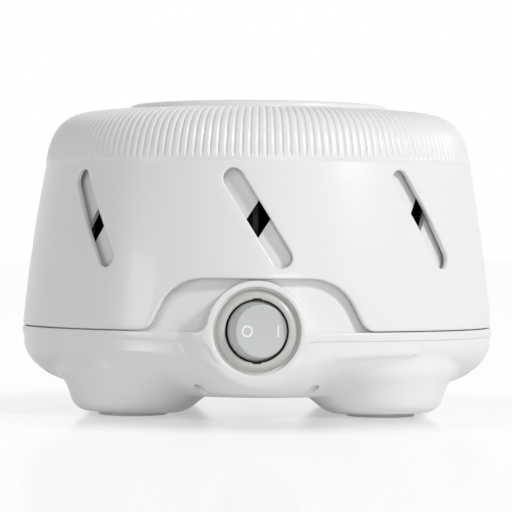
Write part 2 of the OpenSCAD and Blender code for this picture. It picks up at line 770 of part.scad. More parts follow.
// A round body with a tapered head, a nib behind for the plunger, and a pivot pin at each end
module switch_rocker() {
    nib_r = plunger_r + nib_wall;
    nib_end = -plunger_reach + plunger_out;
    waist = [rocker_body_r * cos(waist_angle), rocker_body_r * sin(waist_angle)];
    hollow_r = rocker_face_r - 1;
    color(switch_grey) at_pivot(rocker_tilt) difference() {
        union() {
            intersection() {
                sphere(r = rocker_body_r);
                rod_out(2 * rocker_body_r, -rocker_body_r / 2, waist[1]);
            }
            turned_out([
                [0, 0], [rocker_body_r / 2, 0], waist, [rocker_face_r, rocker_reach - edge_bevel],
                [rocker_face_r - edge_bevel, rocker_reach], [0, rocker_reach]
            ]);
            rod_out(nib_r, nib_end, 0);
            cylinder(r = pivot_pin_r, h = 2 * (barrel_r - edge_bevel), center = true);
        }
        rod_out(plunger_r + pin_fit, nib_end - cut, spring_seat);
        turned_out(concat(
            [for (k = [0:4]) [hollow_r * k / 4, rocker_reach - rocker_dish * (1 - k * k / 16)]],
            [[hollow_r, rocker_reach + cut], [0, rocker_reach + cut]]
        ));
    }
}

module rocker_spring() {
    turns = 5;
    per_turn = 10;
    wire_r = 0.2;
    coil_r = plunger_r - wire_r - pin_fit;
    low = -plunger_reach + plunger_len + wire_r;
    high = spring_seat - 2 * wire_r;
    count = turns * per_turn;
    route = [for (i = [0:count]) let (a = i * 360 / per_turn)
        [coil_r * cos(a), -(low + (high - low) * i / count), coil_r * sin(a)]];
    color(steel) at_pivot(rocker_tilt) swept(route, wire_r, 6);
}

module contact_plunger() {
    tip = -plunger_reach;
    color(brass) at_pivot(rocker_tilt) turned_out([
        [0, tip], [plunger_r / 2, tip + edge_bevel], [plunger_r, tip + plunger_r],
        [plunger_r, tip + plunger_len], [0, tip + plunger_len]
    ]);
}

module contact_bridge() {
    bridge_w = 0.8 * blade_w;
    color(copper) translate([0, -bridge_out, switch_z]) rotate([0, 0, -bridge_tilt]) {
        cube([2 * bridge_half, bridge_t, bridge_w], center = true);
        difference() {
            cylinder(r = bead_r, h = bridge_w, center = true);
            translate([0, -bead_r, 0]) cube([2 * bead_r + cut, 2 * bead_r, bridge_w + cut], center = true);
        }
    }
}

module switch_terminals() {
    end = barrel_end - blade_len;
    pivot_edge = bridge_out - bead_r - contact_gap;
    fixed_edge = bridge_out - fixed_contact_x * tan(bridge_tilt) - bridge_t / 2 - 1.5 * contact_gap;
    color(brass) translate([0, 0, switch_z]) {
        terminal_blade(0, end, pivot_edge);
        terminal_blade(-fixed_contact_x, end, fixed_edge);
    }
}

module terminal_blade(x, near, far) {
    hole_r = 0.8;
    hole_in = 2;
    translate([x - blade_t / 2, -far, -blade_w / 2]) difference() {
        cube([blade_t, far - near, blade_w]);
        translate([-cut, far - near - hole_in, blade_w / 2]) rotate([0, 90, 0])
            cylinder(r = hole_r, h = blade_t + 2 * cut);
    }
}

// ---- Fan ----

// One curved blade in plan, from its inner end to its outer end
function blade_line(offset) = [for (i = [0:6]) let (
    t = i / 6,
    r = blade_in_r + (fan_r - blade_in_r) * t,
    a = blade_sweep * t * t
) [r * cos(a) - offset * sin(a), r * sin(a) + offset * cos(a)]];

module fan_wheel() {
    color(black) difference() {
        union() {
            translate([0, 0, fan_z]) {
                cylinder(r = fan_r, h = fan_t);
                cylinder(r = hub_r, h = hub_h);
                translate([0, 0, fan_h]) ring(fan_r, fan_r - 3 * fan_t, fan_t);
                intersection() {
                    on_ring(blade_count) translate([0, 0, fan_t / 2]) linear_extrude(fan_h)
                        polygon(concat(blade_line(-fan_t / 2), reversed(blade_line(fan_t / 2))));
                    cylinder(r = fan_r - fan_t / 4, h = fan_h + fan_t);
                }
            }
        }
        translate([0, 0, fan_z - cut]) cylinder(r = shaft_r + seat_fit, h = hub_h + 2 * cut);
        on_ring(6) translate([(hub_r + blade_in_r) / 2, 0, fan_z - cut])
            cylinder(r = hub_r, h = fan_t + 2 * cut);
    }
}

module fan_clip() {
    color(steel) translate([0, 0, hub_top]) ring(clip_r, shaft_r + seat_fit, clip_t);
}

module motor_shaft() {
    color(steel) translate([0, 0, shaft_low_z])
        cylinder(r = shaft_r, h = hub_top + shaft_over - shaft_low_z);
}

module rotor_core() {
    ring_h = 0.4;
    color("#8e9093") translate([0, 0, stack_z]) difference() {
        union() {
            translate([0, 0, ring_h]) cylinder(r = rotor_r, h = stack_t - 2 * ring_h);
            cylinder(r = rotor_r - 1.2, h = stack_t);
        }
        translate([0, 0, -cut]) cylinder(r = shaft_r + seat_fit, h = stack_t + 2 * cut);
    }
}

module thrust_washers() {
    color("#e8dcc0") for (z = [stack_z - washer_t - washer_play, stack_top + washer_play])
        translate([0, 0, z]) ring(bush_r, shaft_r + shaft_fit, washer_t);
}

// ---- Motor ----

module motor_core() {
    hole = shade_t + 2 * shade_fit;
    color("#7d7f83") difference() {
        translate([-stack_back, -stack_half, stack_z])
            cube([stack_back + stack_front, 2 * stack_half, stack_t]);
        translate([window_x, -window_half, stack_z - cut])
            cube([stack_front, 2 * window_half, stack_t + 2 * cut]);
        translate([0, 0, stack_z - cut]) cylinder(r = bore_r, h = stack_t + 2 * cut);
        for (y = [-bolt_y, bolt_y]) translate([0, y, stack_z - cut])
            cylinder(r = bolt_r + screw_fit, h = stack_t + 2 * cut);
        for (side = [-1, 1], x = [shade_near, shade_far])
            translate([side * x, -side * shade_y, coil_mid_z]) cube([hole, hole, stack_t + 2 * cut], center = true);
    }
}

module coil_core() {
    color("#6c6e72") translate([core_x, -window_half, stack_z]) cube([core_w, 2 * window_half, stack_t]);
}

// A plate round the core bar, standing past it by build, along Y
module coil_block(build, from_y, to_y) {
    translate([core_x - build, from_y, stack_z - build])
        cube([core_w + 2 * build, to_y - from_y, stack_t + 2 * build]);
}

module coil_bobbin() {
    color("#e9e4d6") difference() {
        union() {
            coil_block(bobbin_wall, -bobbin_half, bobbin_half);
            coil_block(coil_build, -bobbin_half, bobbin_wall - bobbin_half);
            coil_block(coil_build, bobbin_half - bobbin_wall, bobbin_half);
        }
        coil_block(seat_fit, -bobbin_half - cut, bobbin_half + cut);
    }
}

module coil_winding() {
    build = bobbin_wall + winding_t;
    reach = bobbin_half - bobbin_wall - seat_fit;
    round_r = winding_t / 2;
    color(copper) difference() {
        translate([core_x + core_w / 2, reach, coil_mid_z]) rotate([90, 0, 0])
            linear_extrude(2 * reach) rounded_rect(core_w + 2 * build, stack_t + 2 * build, round_r);
        coil_block(bobbin_wall + seat_fit, -reach - cut, reach + cut);
    }
}

module rounded_rect(w, h, r) {
    polygon(concat(
        arc([w / 2 - r, h / 2 - r], r, 0, 90, 4), arc([r - w / 2, h / 2 - r], r, 90, 180, 4),
        arc([r - w / 2, r - h / 2], r, 180, 270, 4), arc([w / 2 - r, r - h / 2], r, 270, 360, 4)
    ));
}

module shading_rings() {
    span = shade_far - shade_near;
    tall = stack_t + 2 * shade_t + 2 * shade_fit;
    color(copper) for (side = [-1, 1])
        translate([side * (shade_near + shade_far) / 2, -side * shade_y, coil_mid_z]) difference() {
            cube([span + shade_t, shade_t, tall], center = true);
            cube([span - shade_t, shade_t + cut, stack_t + 2 * shade_fit], center = true);
        }
}

// A bearing bracket under the laminations, with its feet against z = 0 and its cup below
module bracket() {
    leg_y = bolt_y - grommet_r - bracket_t;
    difference() {
        union() {
            for (side = [0, 1]) mirror([0, side, 0]) {
                translate([-bracket_w / 2, leg_y, -bracket_t]) cube([bracket_w, stack_half - leg_y, bracket_t]);
                translate([-bracket_w / 2, leg_y, -bridge_rise]) cube([bracket_w, bracket_t, bridge_rise]);
            }
            translate([-bracket_w / 2, -leg_y, -bridge_rise]) cube([bracket_w, 2 * leg_y, bracket_t]);
            translate([0, 0, -bridge_rise]) cylinder(r = cup_r, h = cup_h);
        }
        translate([0, 0, -bridge_rise - cut]) cylinder(r = bush_r + seat_fit, h = cup_h + 2 * cut);
        for (y = [-bolt_y, bolt_y]) translate([0, y, -bracket_t - cut])
            cylinder(r = bolt_r + screw_fit, h = bracket_t + 2 * cut);
    }
}

module bracket_lower() {
    color("#a9abad") translate([0, 0, stack_z]) bracket();
}

module bracket_upper() {
    color("#a9abad") translate([0, 0, stack_top]) mirror([0, 0, 1]) bracket();
}

module bush(z) {
    color("#b08d57") translate([0, 0, z]) ring(bush_r, shaft_r + shaft_fit, cup_h);
}

module motor_screws() {
    low = floor_top + 1;
    high = stack_top + bracket_t;
    color(steel) for (y = [-bolt_y, bolt_y]) translate([0, y, 0]) {
        translate([0, 0, low]) cylinder(r = bolt_r, h = high - low);
        translate([0, 0, high]) cylinder(r = bolt_head_r, h = bolt_head_h);
    }
}

module motor_grommets() {
    lip = grommet_h / 4;
    color(black) for (y = [-bolt_y, bolt_y]) translate([0, y, grommet_z]) rotate_extrude() polygon([
        [bolt_r + screw_fit, 0], [grommet_r, 0], [grommet_r, lip], [grommet_r - 0.7, lip],
        [grommet_r - 0.7, grommet_h - lip], [grommet_r, grommet_h - lip], [grommet_r, grommet_h],
        [bolt_r + screw_fit, grommet_h]
    ]);
}

// ---- Cord outlet and wiring ----

module cord_gland() {
    inner_face = rim_r - outlet_boss_depth;
    color(black) translate([0, 0, outlet_z]) rotate([0, 0, 180]) turned_out([
        [gland_bore_r, inner_face - gland_flange_t], [gland_r + 0.6, inner_face - 0.2],
        [gland_r, inner_face - 0.2], [gland_r, rim_r], [gland_flange_r, rim_r],
        [gland_flange_r, gland_out - 0.4], [gland_flange_r - 0.4, gland_out], [gland_tip_r + 0.5, gland_out],
        [gland_tip_r, gland_tip], [gland_bore_r, gland_tip]
    ]);
}

// Routes of the leads, chosen by hand and tied to what they join
crimp_y = bowl_r - bowl_turn - crimp_in;
crimp_at = [[-12, crimp_y, floor_top + crimp_r], [12, crimp_y, floor_top + crimp_r]];
crimp_front = crimp_y - crimp_len / 2;
coil_end_x = core_x + core_w / 2;
coil_lead_z = stack_z - 3;
terminal_end = barrel_end - blade_len;
live_route = concat(
    lead_end([0, -terminal_end, switch_z], 1),
    [[-7, -38, 15.5], [-24, -26, 12], [-31, -6, 11.5], [-29, crimp_front - 22, 11.5],
     [-18, crimp_front - 8, 11.6]],
    reversed(lead_end([crimp_at[0][0], crimp_front, crimp_at[0][2]], -1))
);
switched_route = concat(
    lead_end([-fixed_contact_x, -terminal_end, switch_z], 1),
    [[0, -38.5, 23.5], [16, -34, 15.5], [27, -28, 13]],
    reversed(lead_end([coil_end_x, -bobbin_half, coil_lead_z], -1))
);
neutral_route = concat(
    lead_end([coil_end_x, bobbin_half, coil_lead_z], 1),
    [[26, 28, 14], [15, crimp_front - 6, 11.8]],
    reversed(lead_end([crimp_at[1][0], crimp_front, crimp_at[1][2]], -1))
);

// The straight end of a lead, which leaves what it joins towards the back (1) or the front (-1)
function lead_end(at, way) = [for (out = [lead_gap, 1.5, 3]) at + [0, way * out, 0]];

function unit(v) = v / norm(v);

// A smooth curve through all the points of a route, cut into pieces about step long
function smooth(route, step) = let (last = len(route) - 1) concat([for (i = [0:last - 1])
    let (
        from = route[i], to = route[i + 1], pieces = max(1, round(norm(to - from) / step)),
        before = i > 0 ? route[i - 1] : 2 * from - to,
        after = i < last - 1 ? route[i + 2] : 2 * to - from,
        leave = tangent(before, from, to), arrive = tangent(after, to, from)
    ) each [for (k = [0:pieces - 1]) let (t = k / pieces)
        from + (to - from) * (3 - 2 * t) * t * t + leave * (1 - t) * (1 - t) * t + arrive * (1 - t) * t * t]
], [route[last]]);

// How fast the curve leaves a point towards the next, slowed where the points are close together
function tangent(before, at, next) = let (
    near = sqrt(norm(at - before)), far = sqrt(norm(next - at))
) next - at + far * ((at - before) / near - (next - before) / (near + far));

// A round tube along a list of points
module swept(path, r, sides) {
    last = len(path) - 1;
    rings = [for (i = [0:last]) let (
        along = unit(path[min(i + 1, last)] - path[max(i - 1, 0)]),
        across = unit(cross(along, [0.31, 0.22, 0.92])),
        up = cross(across, along)
    ) for (k = [0:sides - 1]) path[i] + r * (cos(k * 360 / sides) * across + sin(k * 360 / sides) * up)];
    walls = [for (i = [0:last - 1], k = [0:sides - 1])
        let (n = (k + 1) % sides, here = i * sides, ahead = here + sides)
        each [[here + k, here + n, ahead + n], [here + k, ahead + n, ahead + k]]];
    ends = [[for (k = [sides - 1:-1:0]) k], [for (k = [0:sides - 1]) last * sides + k]];
    polyhedron(rings, concat(walls, ends));
}

module lead_live() {
    color("#2b2b2c") swept(smooth(live_route, lead_step), lead_r, 8);
}

module lead_switched() {
    color("#2b2b2c") swept(smooth(switched_route, lead_step), lead_r, 8);
}

module lead_neutral() {
    color("#e9e9e6") swept(smooth(neutral_route, lead_step), lead_r, 8);
}

module crimp_caps() {
    color("#d9d2bd") for (at = crimp_at) translate([at[0], crimp_front, at[2]]) rotate([-90, 0, 0])
        rotate_extrude() polygon([
            [0, 0], [crimp_r, 0], [crimp_r, crimp_len * 0.7], [crimp_r * 0.6, crimp_len], [0, crimp_len]
        ]);
}

base_shell();
foot_pad(1);  // foot_pad_1
foot_pad(2);  // foot_pad_2
foot_pad(3);  // foot_pad_3
foot_pad(4);  // foot_pad_4
outer_hood();
inner_drum();
inlet_plate();
top_cap();
cap_washer();
cap_screw();
housing_screws();
switch_housing();
switch_rocker();
rocker_spring();
contact_plunger();
contact_bridge();
switch_terminals();
fan_wheel();
fan_clip();
motor_shaft();
rotor_core();
thrust_washers();
motor_core();
coil_core();
coil_bobbin();
coil_winding();
shading_rings();
bracket_lower();
bracket_upper();
bush(cup_low_z);  // bush_lower
bush(cup_high_z);  // bush_upper
motor_screws();
motor_grommets();
cord_gland();
lead_live();
lead_switched();
lead_neutral();
crimp_caps();
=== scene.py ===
"""Dresses the fan sound machine round its frame: hood, cap, drum, base, switch and studio."""
import json
import math
from types import SimpleNamespace

import bmesh
import bpy
import numpy as np
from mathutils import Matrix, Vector
from mathutils.geometry import delaunay_2d_cdt


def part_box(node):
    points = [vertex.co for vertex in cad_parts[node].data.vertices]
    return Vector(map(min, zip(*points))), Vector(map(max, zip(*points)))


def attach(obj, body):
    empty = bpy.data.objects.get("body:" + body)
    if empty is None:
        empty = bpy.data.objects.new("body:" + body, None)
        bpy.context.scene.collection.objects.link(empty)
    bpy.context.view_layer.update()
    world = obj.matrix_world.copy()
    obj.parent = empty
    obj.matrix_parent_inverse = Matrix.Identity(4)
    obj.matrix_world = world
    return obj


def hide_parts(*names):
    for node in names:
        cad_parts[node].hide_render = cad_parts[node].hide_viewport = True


bl_info = {
    "name": "Fan Sound Machine",
    "version": (1, 0, 0),
    "blender": (4, 5, 0),
    "location": "3D View > Sidebar > Sound Machine",
    "description": "Builds the shells, switch and finishes of a fan sound machine round its frame",
    "category": "Object",
}

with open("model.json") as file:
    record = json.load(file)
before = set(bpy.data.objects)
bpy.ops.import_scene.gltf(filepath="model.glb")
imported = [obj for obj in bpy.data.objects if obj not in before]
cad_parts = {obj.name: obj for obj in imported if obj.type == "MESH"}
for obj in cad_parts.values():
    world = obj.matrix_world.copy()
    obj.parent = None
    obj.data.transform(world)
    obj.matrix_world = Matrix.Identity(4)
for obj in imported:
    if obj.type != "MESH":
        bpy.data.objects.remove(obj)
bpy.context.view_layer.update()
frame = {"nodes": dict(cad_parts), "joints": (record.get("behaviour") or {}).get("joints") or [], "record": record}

MM = 0.001
WELD = 0.002 * MM  # points closer than this are one
ON_AXIS = 1e-9  # a radius under this is none


# ---- Places that the frame gives, in millimetres ----

def low(node, axis):
    """The lowest coordinate of a frame node along an axis."""
    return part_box(node)[0][axis] / MM


def high(node, axis):
    """The highest coordinate of a frame node along an axis."""
    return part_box(node)[1][axis] / MM


def middle(node, axis):
    """The middle of a frame node along an axis."""
    return (low(node, axis) + high(node, axis)) / 2


X, Y, Z = 0, 1, 2
RIM_R = high("base_shell", X)
HOOD_R = high("outer_hood", X)
HOOD_LOW_Z = low("outer_hood", Z)
HOOD_TOP_Z = high("outer_hood", Z)
CAP_R = high("top_cap", X)
CAP_TOP_Z = high("top_cap", Z)
STEM_END_Z = low("top_cap", Z)
SWITCH_Z = middle("switch_housing", Z)
BEZEL_R = high("switch_housing", X)
BEZEL_FRONT = -low("switch_housing", Y)
BARREL_END = -high("switch_housing", Y)
POD_FRONT = -low("base_shell", Y)
POD_R = high("base_shell", Z) - SWITCH_Z
FOOT_AT = middle("foot_pad_2", X)
PAD_R = high("foot_pad_2", X) - FOOT_AT
PAD_H = high("foot_pad_2", Z)
GLAND_Z = middle("cord_gland", Z)
GLAND_FLANGE_R = high("cord_gland", X)
GLAND_END = high("cord_gland", Y)
GLAND_START = low("cord_gland", Y)
ROCKER_JOINT = next(joint for joint in frame["joints"] if joint["child"] == "rocker")
PIVOT_OUT = -ROCKER_JOINT["pos_m"][Y] / MM
ROCKER_TILT = math.radians(-ROCKER_JOINT["range_deg"][0] / 2)


# ---- Sizes and colours that a user would change ----

def length(name, description, millimetres):
    """A length, given in millimetres and kept in metres as Blender does."""
    return bpy.props.FloatProperty(
        name=name, description=description, default=millimetres * MM, unit="LENGTH", precision=5)


def angle(name, description, degrees):
    """An angle, given in degrees and kept in radians."""
    return bpy.props.FloatProperty(
        name=name, description=description, default=math.radians(degrees), subtype="ANGLE")


def whole(name, description, number):
    """A count of repeated shapes."""
    return bpy.props.IntProperty(name=name, description=description, default=number, min=1)


def tint(name, description, colour):
    """A colour."""
    return bpy.props.FloatVectorProperty(
        name=name, description=description, default=colour, size=3, min=0, max=1, subtype="COLOR")


def factor(name, description, value):
    """A share from 0 to 1."""
    return bpy.props.FloatProperty(
        name=name, description=description, default=value, min=0, max=1, subtype="FACTOR")


class HoodSizes(bpy.types.PropertyGroup):
    """Sizes of the slotted hood."""
    wall: length("Wall", "Thickness of the wall", 1.8)
    edge: length("Edge rounding", "Rounding of the edges of the slots, the notch and the foot", 0.55)
    skirt_top_r: length("Skirt top radius", "Radius where the smooth side ends", 65.95)
    skirt_top_z: length("Skirt top", "Height where the smooth side ends", 75.8)
    skirt_belly: length("Skirt belly", "How far the side swells past a straight cone", 1.35)
    shoulder_r: length("Shoulder radius", "Radius at which the shoulder reaches the flat top", 48.5)
    mouth_r: length("Mouth radius", "Radius of the mouth under the cap", 38.5)
    lip_h: length("Lip height", "Height of the lip round the mouth", 3.0)
    slot_count: whole("Slots", "Number of slots round the side", 8)
    slot_width: length("Slot width", "Width of each slot", 6.0)
    slot_length: length("Slot length", "Length of each slot from end to end", 33.0)
    slot_lean: angle("Slot lean", "Lean of each slot from the vertical", 32)
    slot_z: length("Slot height", "Height of the middle of each slot", 58.5)
    notch_top_z: length("Notch top", "Height of the top of the front notch", 41.0)
    notch_flat: length("Notch flat", "Half the width of the notch's flat top", 15.7)
    notch_corner: length("Notch corner", "Radius of the notch's rounded top corners", 14.1)
    notch_lean: angle("Notch lean", "Lean of the notch's sides from the vertical", 27)
    notch_foot: length("Notch foot", "Radius where each side meets the bottom edge", 4.2)


class RibSizes(bpy.types.PropertyGroup):
    """Sizes of the fine ribs round the shoulder."""
    count: whole("Ribs", "Number of ribs round the shoulder", 176)
    proud: length("Proud", "How far the ribs stand off the smooth side", 0.25)
    valley_width: length("Valley width", "Width of the valley between two ribs", 1.1)
    valley_depth: length("Valley depth", "Depth of the valley between two ribs", 0.4)
    tip: length("Tip", "Length over which a valley opens from its point", 2.4)
    fade: length("Fade", "Length over which a valley runs out towards the cap", 9.0)
    land_crown: length("Land crown", "How far the middle of a rib swells past its edges", 0.05)


class DrumSizes(bpy.types.PropertyGroup):
    """Sizes of the slotted drum behind the hood."""
    pod_gap: length("Pod gap", "Clearance of the solid's hole round the switch pod", 0.3)
    seam: length("Seam", "Seam that shows between the drum and the switch pod", 0.06)


class CapSizes(bpy.types.PropertyGroup):
    """Sizes of the cap over the air inlet."""
    rim_h: length("Rim height", "Height of the rim that shows", 2.5)
    plug_h: length("Plug height", "Thickness through the middle", 3.0)
    crown: length("Crown", "Fall from the middle to the edge", 0.4)
    edge: length("Edge rounding", "Rounding of the outer edge", 1.6)
    vent_edge: length("Vent edge rounding", "Rounding of the edges of the vents", 0.5)
    vent_count: whole("Vents", "Number of air vents", 6)
    vent_in_r: length("Vent inner radius", "Inner radius of the vents", 20.0)
    vent_out_r: length("Vent outer radius", "Outer radius of the vents", 30.0)
    vent_angle: angle("Vent angle", "Angle that each vent takes up", 26)
    vent_corner: length("Vent corner", "Radius of the vents' corners", 1.6)
    stem_r: length("Stem radius", "Radius of the stem below", 4.0)
    screw_r: length("Screw radius", "Radius of the hole for the screw", 1.45)


class BaseSizes(bpy.types.PropertyGroup):
    """Sizes of the base and its feet."""
    wall: length("Wall", "Thickness of the wall", 2.2)
    rim_h: length("Rim height", "Height of the rim flange", 2.6)
    rim_step: length("Rim step", "Step from the rim flange in to the bowl", 0.45)
    rim_edge: length("Rim edge rounding", "Rounding of the edges of the rim and the pod", 0.4)
    deck_width: length("Deck width", "Width of the deck inside the rim", 11.0)
    bowl_turn: length("Bowl turn", "Width over which the bowl curves in to its floor", 25.0)
    bowl_top_z: length("Bowl top", "Height where the bowl's side becomes upright", 21.4)
    floor_z: length("Floor", "Height of the underside of the floor", 6.8)
    foot_r: length("Foot radius", "Radius of each foot above its corner", 18.0)
    foot_corner: length("Foot corner", "Rounding round the bottom of each foot", 4.6)
    foot_flare: length("Foot flare", "Flare of each foot where it meets the bowl", 0.8)
    blend: length("Foot blend", "Reach of the soft blend between the feet and the bowl", 9.0)
    pod_blend: length("Pod blend", "Reach of the soft blend between the pod and the bowl", 5.0)
    pod_flare: length("Pod flare", "Radius in which the pod's front runs back into the bowl", 3.0)
    dimple_r: length("Dimple radius", "Radius of the small blind holes beside the arches", 2.2)
    dimple_ring: length("Dimple ring", "Distance of the blind holes from the centre", 65.0)
    dimple_angle: angle("Dimple angle", "Angle of each blind hole from its arch's middle", 14.2)
    dimple_top_z: length("Dimple top", "Height of the closed end of the blind holes", 12.6)
    recess_r: length("Recess radius", "Radius of the recess round the switch", 12.6)
    recess_depth: length("Recess depth", "Depth of the recess round the switch", 2.5)
    panel: length("Panel", "Thickness of the panel behind the switch's flange", 2.6)
    panel_hole_r: length("Panel hole", "Radius of the hole that the switch sits in", 10.02)
    pod_depth: length("Pod depth", "Depth of the pod from its front to its back", 10.5)
    pod_fillet: length("Pod fillet", "Radius between the pod and the rim", 3.8)
    boss_r: length("Outlet boss", "Radius of the boss round the cord outlet", 8.0)
    mesh_step: length("Mesh step", "Step of the grid that the bowl is drawn on", 0.9)


class SwitchSizes(bpy.types.PropertyGroup):
    """Sizes of the round rocker switch."""
    opening_r: length("Opening radius", "Radius of the opening in the bezel", 9.1)
    lip: length("Lip", "Width of the bezel's inner lip", 0.9)
    opening_h: length("Opening depth", "Depth of the opening's wall", 0.9)
    key_width: length("Key width", "Width of the small notches above and below the rocker", 2.4)
    key_depth: length("Key depth", "Depth of the small notches above and below the rocker", 0.35)
    barrel_r: length("Barrel radius", "Radius of the barrel behind the panel", 9.9)
    barrel_wall: length("Barrel wall", "Thickness of the barrel's wall", 0.45)
    barrel_back: length("Barrel back", "Thickness of the barrel's closed back", 4.0)
    face_r: length("Face radius", "Radius of the rocker's face", 7.7)
    reach: length("Face reach", "Distance from the pivot to the rocker's face", 4.8)
    face_dish: length("Face dish", "Depth of the hollow in the rocker's face", 0.45)
    body_r: length("Rocker radius", "Radius of the rocker's round body", 8.9)
    mark_o_at: length("Off mark", "Distance of the off mark from the face's middle", 4.15)
    mark_i_at: length("On mark", "Distance of the on mark from the face's middle", 5.0)
    mark_o_r: length("Off mark radius", "Outer radius of the off mark", 1.7)
    mark_line: length("Mark line", "Width of the marks' lines", 0.5)
    mark_i_h: length("On mark height", "Height of the on mark", 3.45)
    mark_rise: length("Mark rise", "How far the marks stand off the face", 0.05)


class FinishColours(bpy.types.PropertyGroup):
    """Colours and gloss of the finishes that show."""
    shell: tint("Shell", "White of the moulded shells", (0.85, 0.85, 0.845))
    shell_roughness: factor("Shell roughness", "Roughness of the moulded shells", 0.32)
    switch: tint("Switch", "Grey of the switch", (0.60, 0.60, 0.58))
    rocker: tint("Rocker", "Grey of the rocker", (0.57, 0.59, 0.57))
    pad: tint("Pads", "Milky white of the pads under the feet", (0.84, 0.85, 0.85))
    mark: tint("Marks", "White of the marks on the rocker", (0.9, 0.9, 0.9))
    table: tint("Table", "White of the table", (0.93, 0.93, 0.93))


class StudioLevels(bpy.types.PropertyGroup):
    """Light of the room, and the whiteness of the table: a glow painted on the table, weakest under the machine
    and strongest away from it.
    """
    room: factor("Room", "Level of the even light from all round", 0.345)
    # Painted light: the table glows white for camera, mirror and glass rays by these shares. The glow is weaker
    # near the machine and stronger away from it, so the machine's shadow and reflection fade with distance.
    near_painted_glow: factor("Near whiteness", "How far the table is lifted to white under the machine", 0.42)
    far_painted_glow: factor("Far whiteness", "How far the table is lifted to white away from the machine", 0.86)
    painted_glow_start: length("Whitening start", "Distance from the centre where the table starts to whiten", 80.0)
    painted_glow_end: length("Whitening end", "Distance from the centre where the table is whitest", 135.0)


GROUPS = {
    "hood": HoodSizes,
    "ribs": RibSizes,
    "drum": DrumSizes,
    "cap": CapSizes,
    "base": BaseSizes,
    "switch": SwitchSizes,
    "finish": FinishColours,
    "studio": StudioLevels,
}


def sizes(name):
    """A group's values as plain numbers, with its lengths in millimetres."""
    group = getattr(bpy.context.scene, "sound_machine_" + name)
    found = {}
    for key, prop in group.bl_rna.properties.items():
        if key not in ("rna_type", "name"):
            value = getattr(group, key)
            found[key] = value / MM if prop.unit == "LENGTH" else value
    return SimpleNamespace(**found)


# ---- Lines and curves ----

CORNERS = ((-1, -1), (1, -1), (1, 1), (-1, 1))  # a rectangle's corners, in halves of its size


def arc(centre, radius, start, end, steps=8):
    """Points along an arc, with its angles in degrees."""
    turns = [math.radians(start + (end - start) * i / steps) for i in range(steps + 1)]
    return [(centre[0] + radius * math.cos(a), centre[1] + radius * math.sin(a)) for a in turns]


def curve(a, b, c, d, steps):
    """Points along a cubic curve with the handles b and c."""
    points = []
    for i in range(steps + 1):
        t = i / steps
        s = 1 - t
        weights = (s ** 3, 3 * s * s * t, 3 * s * t * t, t ** 3)
        points.append(tuple(sum(w * p[k] for w, p in zip(weights, (a, b, c, d))) for k in (0, 1)))
    return points


def eased(corners, steps=5):
    """A line whose corners are rounded; a corner is (x, y) or (x, y, radius)."""
    line = []
    for i, corner in enumerate(corners):
        radius = corner[2] if len(corner) > 2 else 0
        here = np.array(corner[:2], float)
        if not radius:
            line.append(tuple(here))
            continue
        back = np.array(corners[i - 1][:2]) - here
        ahead = np.array(corners[(i + 1) % len(corners)][:2]) - here
        back /= np.linalg.norm(back)
        ahead /= np.linalg.norm(ahead)
        half = math.acos(np.clip(back @ ahead, -1, 1)) / 2
        middle = (back + ahead) / np.linalg.norm(back + ahead)
        centre = here + middle * radius / math.sin(half)
        first = here + back * radius / math.tan(half) - centre
        last = here + ahead * radius / math.tan(half) - centre
        a, b = math.atan2(first[1], first[0]), math.atan2(last[1], last[0])
        b += 2 * math.pi * round((a - b) / (2 * math.pi))
        line += arc(centre, radius, math.degrees(a), math.degrees(b), steps)
    return line


def resampled(line, step):
    """The same line with its points about one step apart, its ends kept."""
    line = np.array(line, float)
    along = np.concatenate([[0], np.cumsum(np.linalg.norm(np.diff(line, axis=0), axis=1))])
    places = np.linspace(0, along[-1], max(2, round(along[-1] / step) + 1))
    return np.stack([np.interp(places, along, line[:, k]) for k in (0, 1)], axis=1)


def left_normals(line, closed):
    """Unit vectors to the left of a line's direction of travel, one for each point."""
    if closed:
        along = np.roll(line, -1, axis=0) - np.roll(line, 1, axis=0)
    else:
        along = np.gradient(line, axis=0)
    along /= np.linalg.norm(along, axis=1)[:, None]
    return np.stack([-along[:, 1], along[:, 0]], axis=1)


def smooth_step(value, start, end):
    """Rises from 0 to 1 between start and end, with soft ends."""
    t = np.clip((value - start) / (end - start), 0, 1)
    return t * t * (3 - 2 * t)


# ---- Meshes ----

